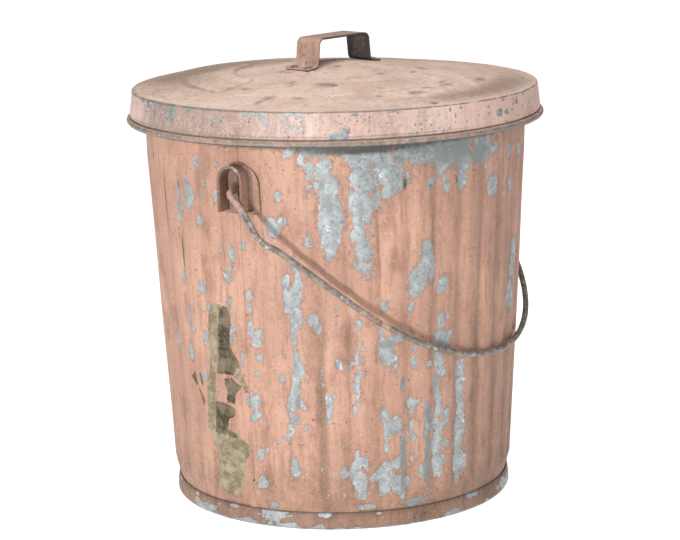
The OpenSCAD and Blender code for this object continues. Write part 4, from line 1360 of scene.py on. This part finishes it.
    def grip(self) -> bpy.types.Object:
        """The strap handle, of flat steel."""
        path, section = self.arch(), self.strap_section()
        place = path[:, None, :] - across_of(path)[:, None, :] * section[None, :, 1:]
        grid = np.stack([place[..., 0], np.broadcast_to(section[:, 0], place.shape[:2]), place[..., 1]], -1)
        along = np.concatenate([[0], np.cumsum(np.hypot(*np.diff(path, axis=0).T))])[:, None]
        wear = self.grip_wear(section[None, :, 0], along, section[None, :, 1] < 0)
        skin = skin_of(grid, ring=False, **wear)
        skin.placed(Matrix.Rotation(radians(self.turn), 4, "Z"))
        return piece("lid_grip", [skin], Body.LID, GRIP_PAINT.material(), ("lid_handle",))

    def rivets(self) -> bpy.types.Object:
        """Four hammered rivet heads, each with its shank and its foot below."""
        slope = self.rise / self.radius
        line = np.array([(0.5, 3.45), (1.6, 3.3), (2.7, 2.9), (3.5, 2.35), (3.8, 1.95), (3.7, 1.8), (2, 1.8),
                         (2, -1.1), (3, -1.1), (3, -1.7), (2.2, -1.9), (0.5, -1.9)])
        out, apart = self.rivet
        skins = []
        for side, y in ((0, -apart), (0, apart), (180, -apart), (180, apart)):
            seat = float(self.cone(np.hypot(out, y)))
            place = (Matrix.Rotation(radians(self.turn + side), 4, "Z") @ Matrix.Translation((out, y, seat))
                     @ Matrix.Rotation(np.arctan(slope), 4, "Y"))
            head = skin_of(revolved(line[:, 0], line[:, 1], np.arange(0, 360, 15)), ring=False)
            skins.append(head.placed(place))
        return piece("lid_rivets", skins, Body.LID, STEEL.material(), ("handle_rivets",))

    def build(self) -> None:
        """Builds the lid's pieces."""
        self.top()
        self.skirt()
        self.grip()
        self.rivets()


@dataclass(frozen=True)
class Studio:
    """White floor, soft lights and the camera, turned with the photo's side.

    The camera's place, lens and sensor and the floor are in millimetres, the
    end of its sight and the lights' aim in metres.
    """

    away: float = 2305.0
    up: float = 710.2
    pan: float = -0.03
    tilt: float = 12.08
    roll: float = -1.34
    lens: float = 124.79
    sensor: float = 36.0
    sight: float = 30.0
    floor_radius: float = 9000.0
    aim: Triple = (0.0, 0.0, 0.25)

    def floor(self) -> None:
        """A white disc under the can, its top level with the can's foot."""
        middle, thick = 10, 5
        line = np.array([(middle, 0), (self.floor_radius, 0), (self.floor_radius, -thick), (middle, -thick)])
        skin = skin_of(revolved(line[:, 0], line[:, 1], np.arange(0, 360, 3)), ring=False)
        mesh = bpy.data.meshes.new("floor")
        mesh.from_pydata((skin.points * MM).tolist(), [], skin.quads.tolist() + skin.triangles.tolist())
        made = bpy.data.objects.new("floor", mesh)
        bpy.context.scene.collection.objects.link(made)
        mesh.materials.append(FLOOR.material())

    def camera(self) -> None:
        """The photo's camera, as it was fitted to the can's rims and foot."""
        yaw, tilt, roll = radians(self.pan), radians(self.tilt), radians(self.roll)
        back = Vector((sin(yaw) * cos(tilt), -cos(yaw) * cos(tilt), sin(tilt)))
        right = Vector((0, 0, 1)).cross(back).normalized()
        above = back.cross(right)
        right, above = cos(roll) * right + sin(roll) * above, cos(roll) * above - sin(roll) * right
        turn = Matrix((right, above, back)).transposed().to_4x4()
        data = bpy.data.cameras.new("camera")
        data.lens, data.sensor_width, data.clip_end = self.lens, self.sensor, self.sight
        made = bpy.data.objects.new("camera", data)
        made.matrix_world = (Matrix.Rotation(radians(VIEW_TURN), 4, "Z")
                             @ Matrix.Translation(Vector((0, -self.away, self.up)) * MM) @ turn)
        bpy.context.scene.collection.objects.link(made)
        bpy.context.scene.camera = made

    def light(self, name: str, place: Triple, size: float, power: float) -> None:
        """A square soft light that faces the can.

        Args:
            name: the light's name.
            place: metres, with the camera's side at -Y.
            size: metres.
            power: watts.
        """
        data = bpy.data.lights.new(name, "AREA")
        data.size, data.energy = size, power
        made = bpy.data.objects.new(name, data)
        spot = Matrix.Rotation(radians(VIEW_TURN), 3, "Z") @ Vector(place)
        made.location = spot
        made.rotation_euler = (Vector(self.aim) - spot).to_track_quat("-Z", "Y").to_euler()
        bpy.context.scene.collection.objects.link(made)

    def world(self, colour: str, strength: float) -> None:
        """Even light from all round, and plain white where the camera looks past the floor."""
        world = bpy.data.worlds.new("world")
        world.use_nodes = True
        inputs = world.node_tree.nodes["Background"].inputs
        inputs["Color"].default_value = linear(colour)
        inputs["Strength"].default_value = strength
        bpy.context.scene.world = world

    def build(self) -> None:
        """Sets the stage."""
        self.floor()
        self.camera()
        self.light("key", place=(-1.2, -2.5, 0.58), size=0.22, power=44)
        self.light("fill", place=(2.3, -1.5, 1.2), size=1.6, power=7)
        self.light("top", place=(0, -0.5, 2.7), size=1.6, power=37)
        self.world("#FFFFFF", strength=0.31)
        bpy.context.scene.view_settings.view_transform = "Standard"


def main() -> None:
    """Builds the pail and its stage."""
    logging.basicConfig(level=logging.INFO, format="%(message)s")
    Can().build()
    Bail().build()
    Lid().build()
    Studio().build()


if __name__ == "__main__":
    main()
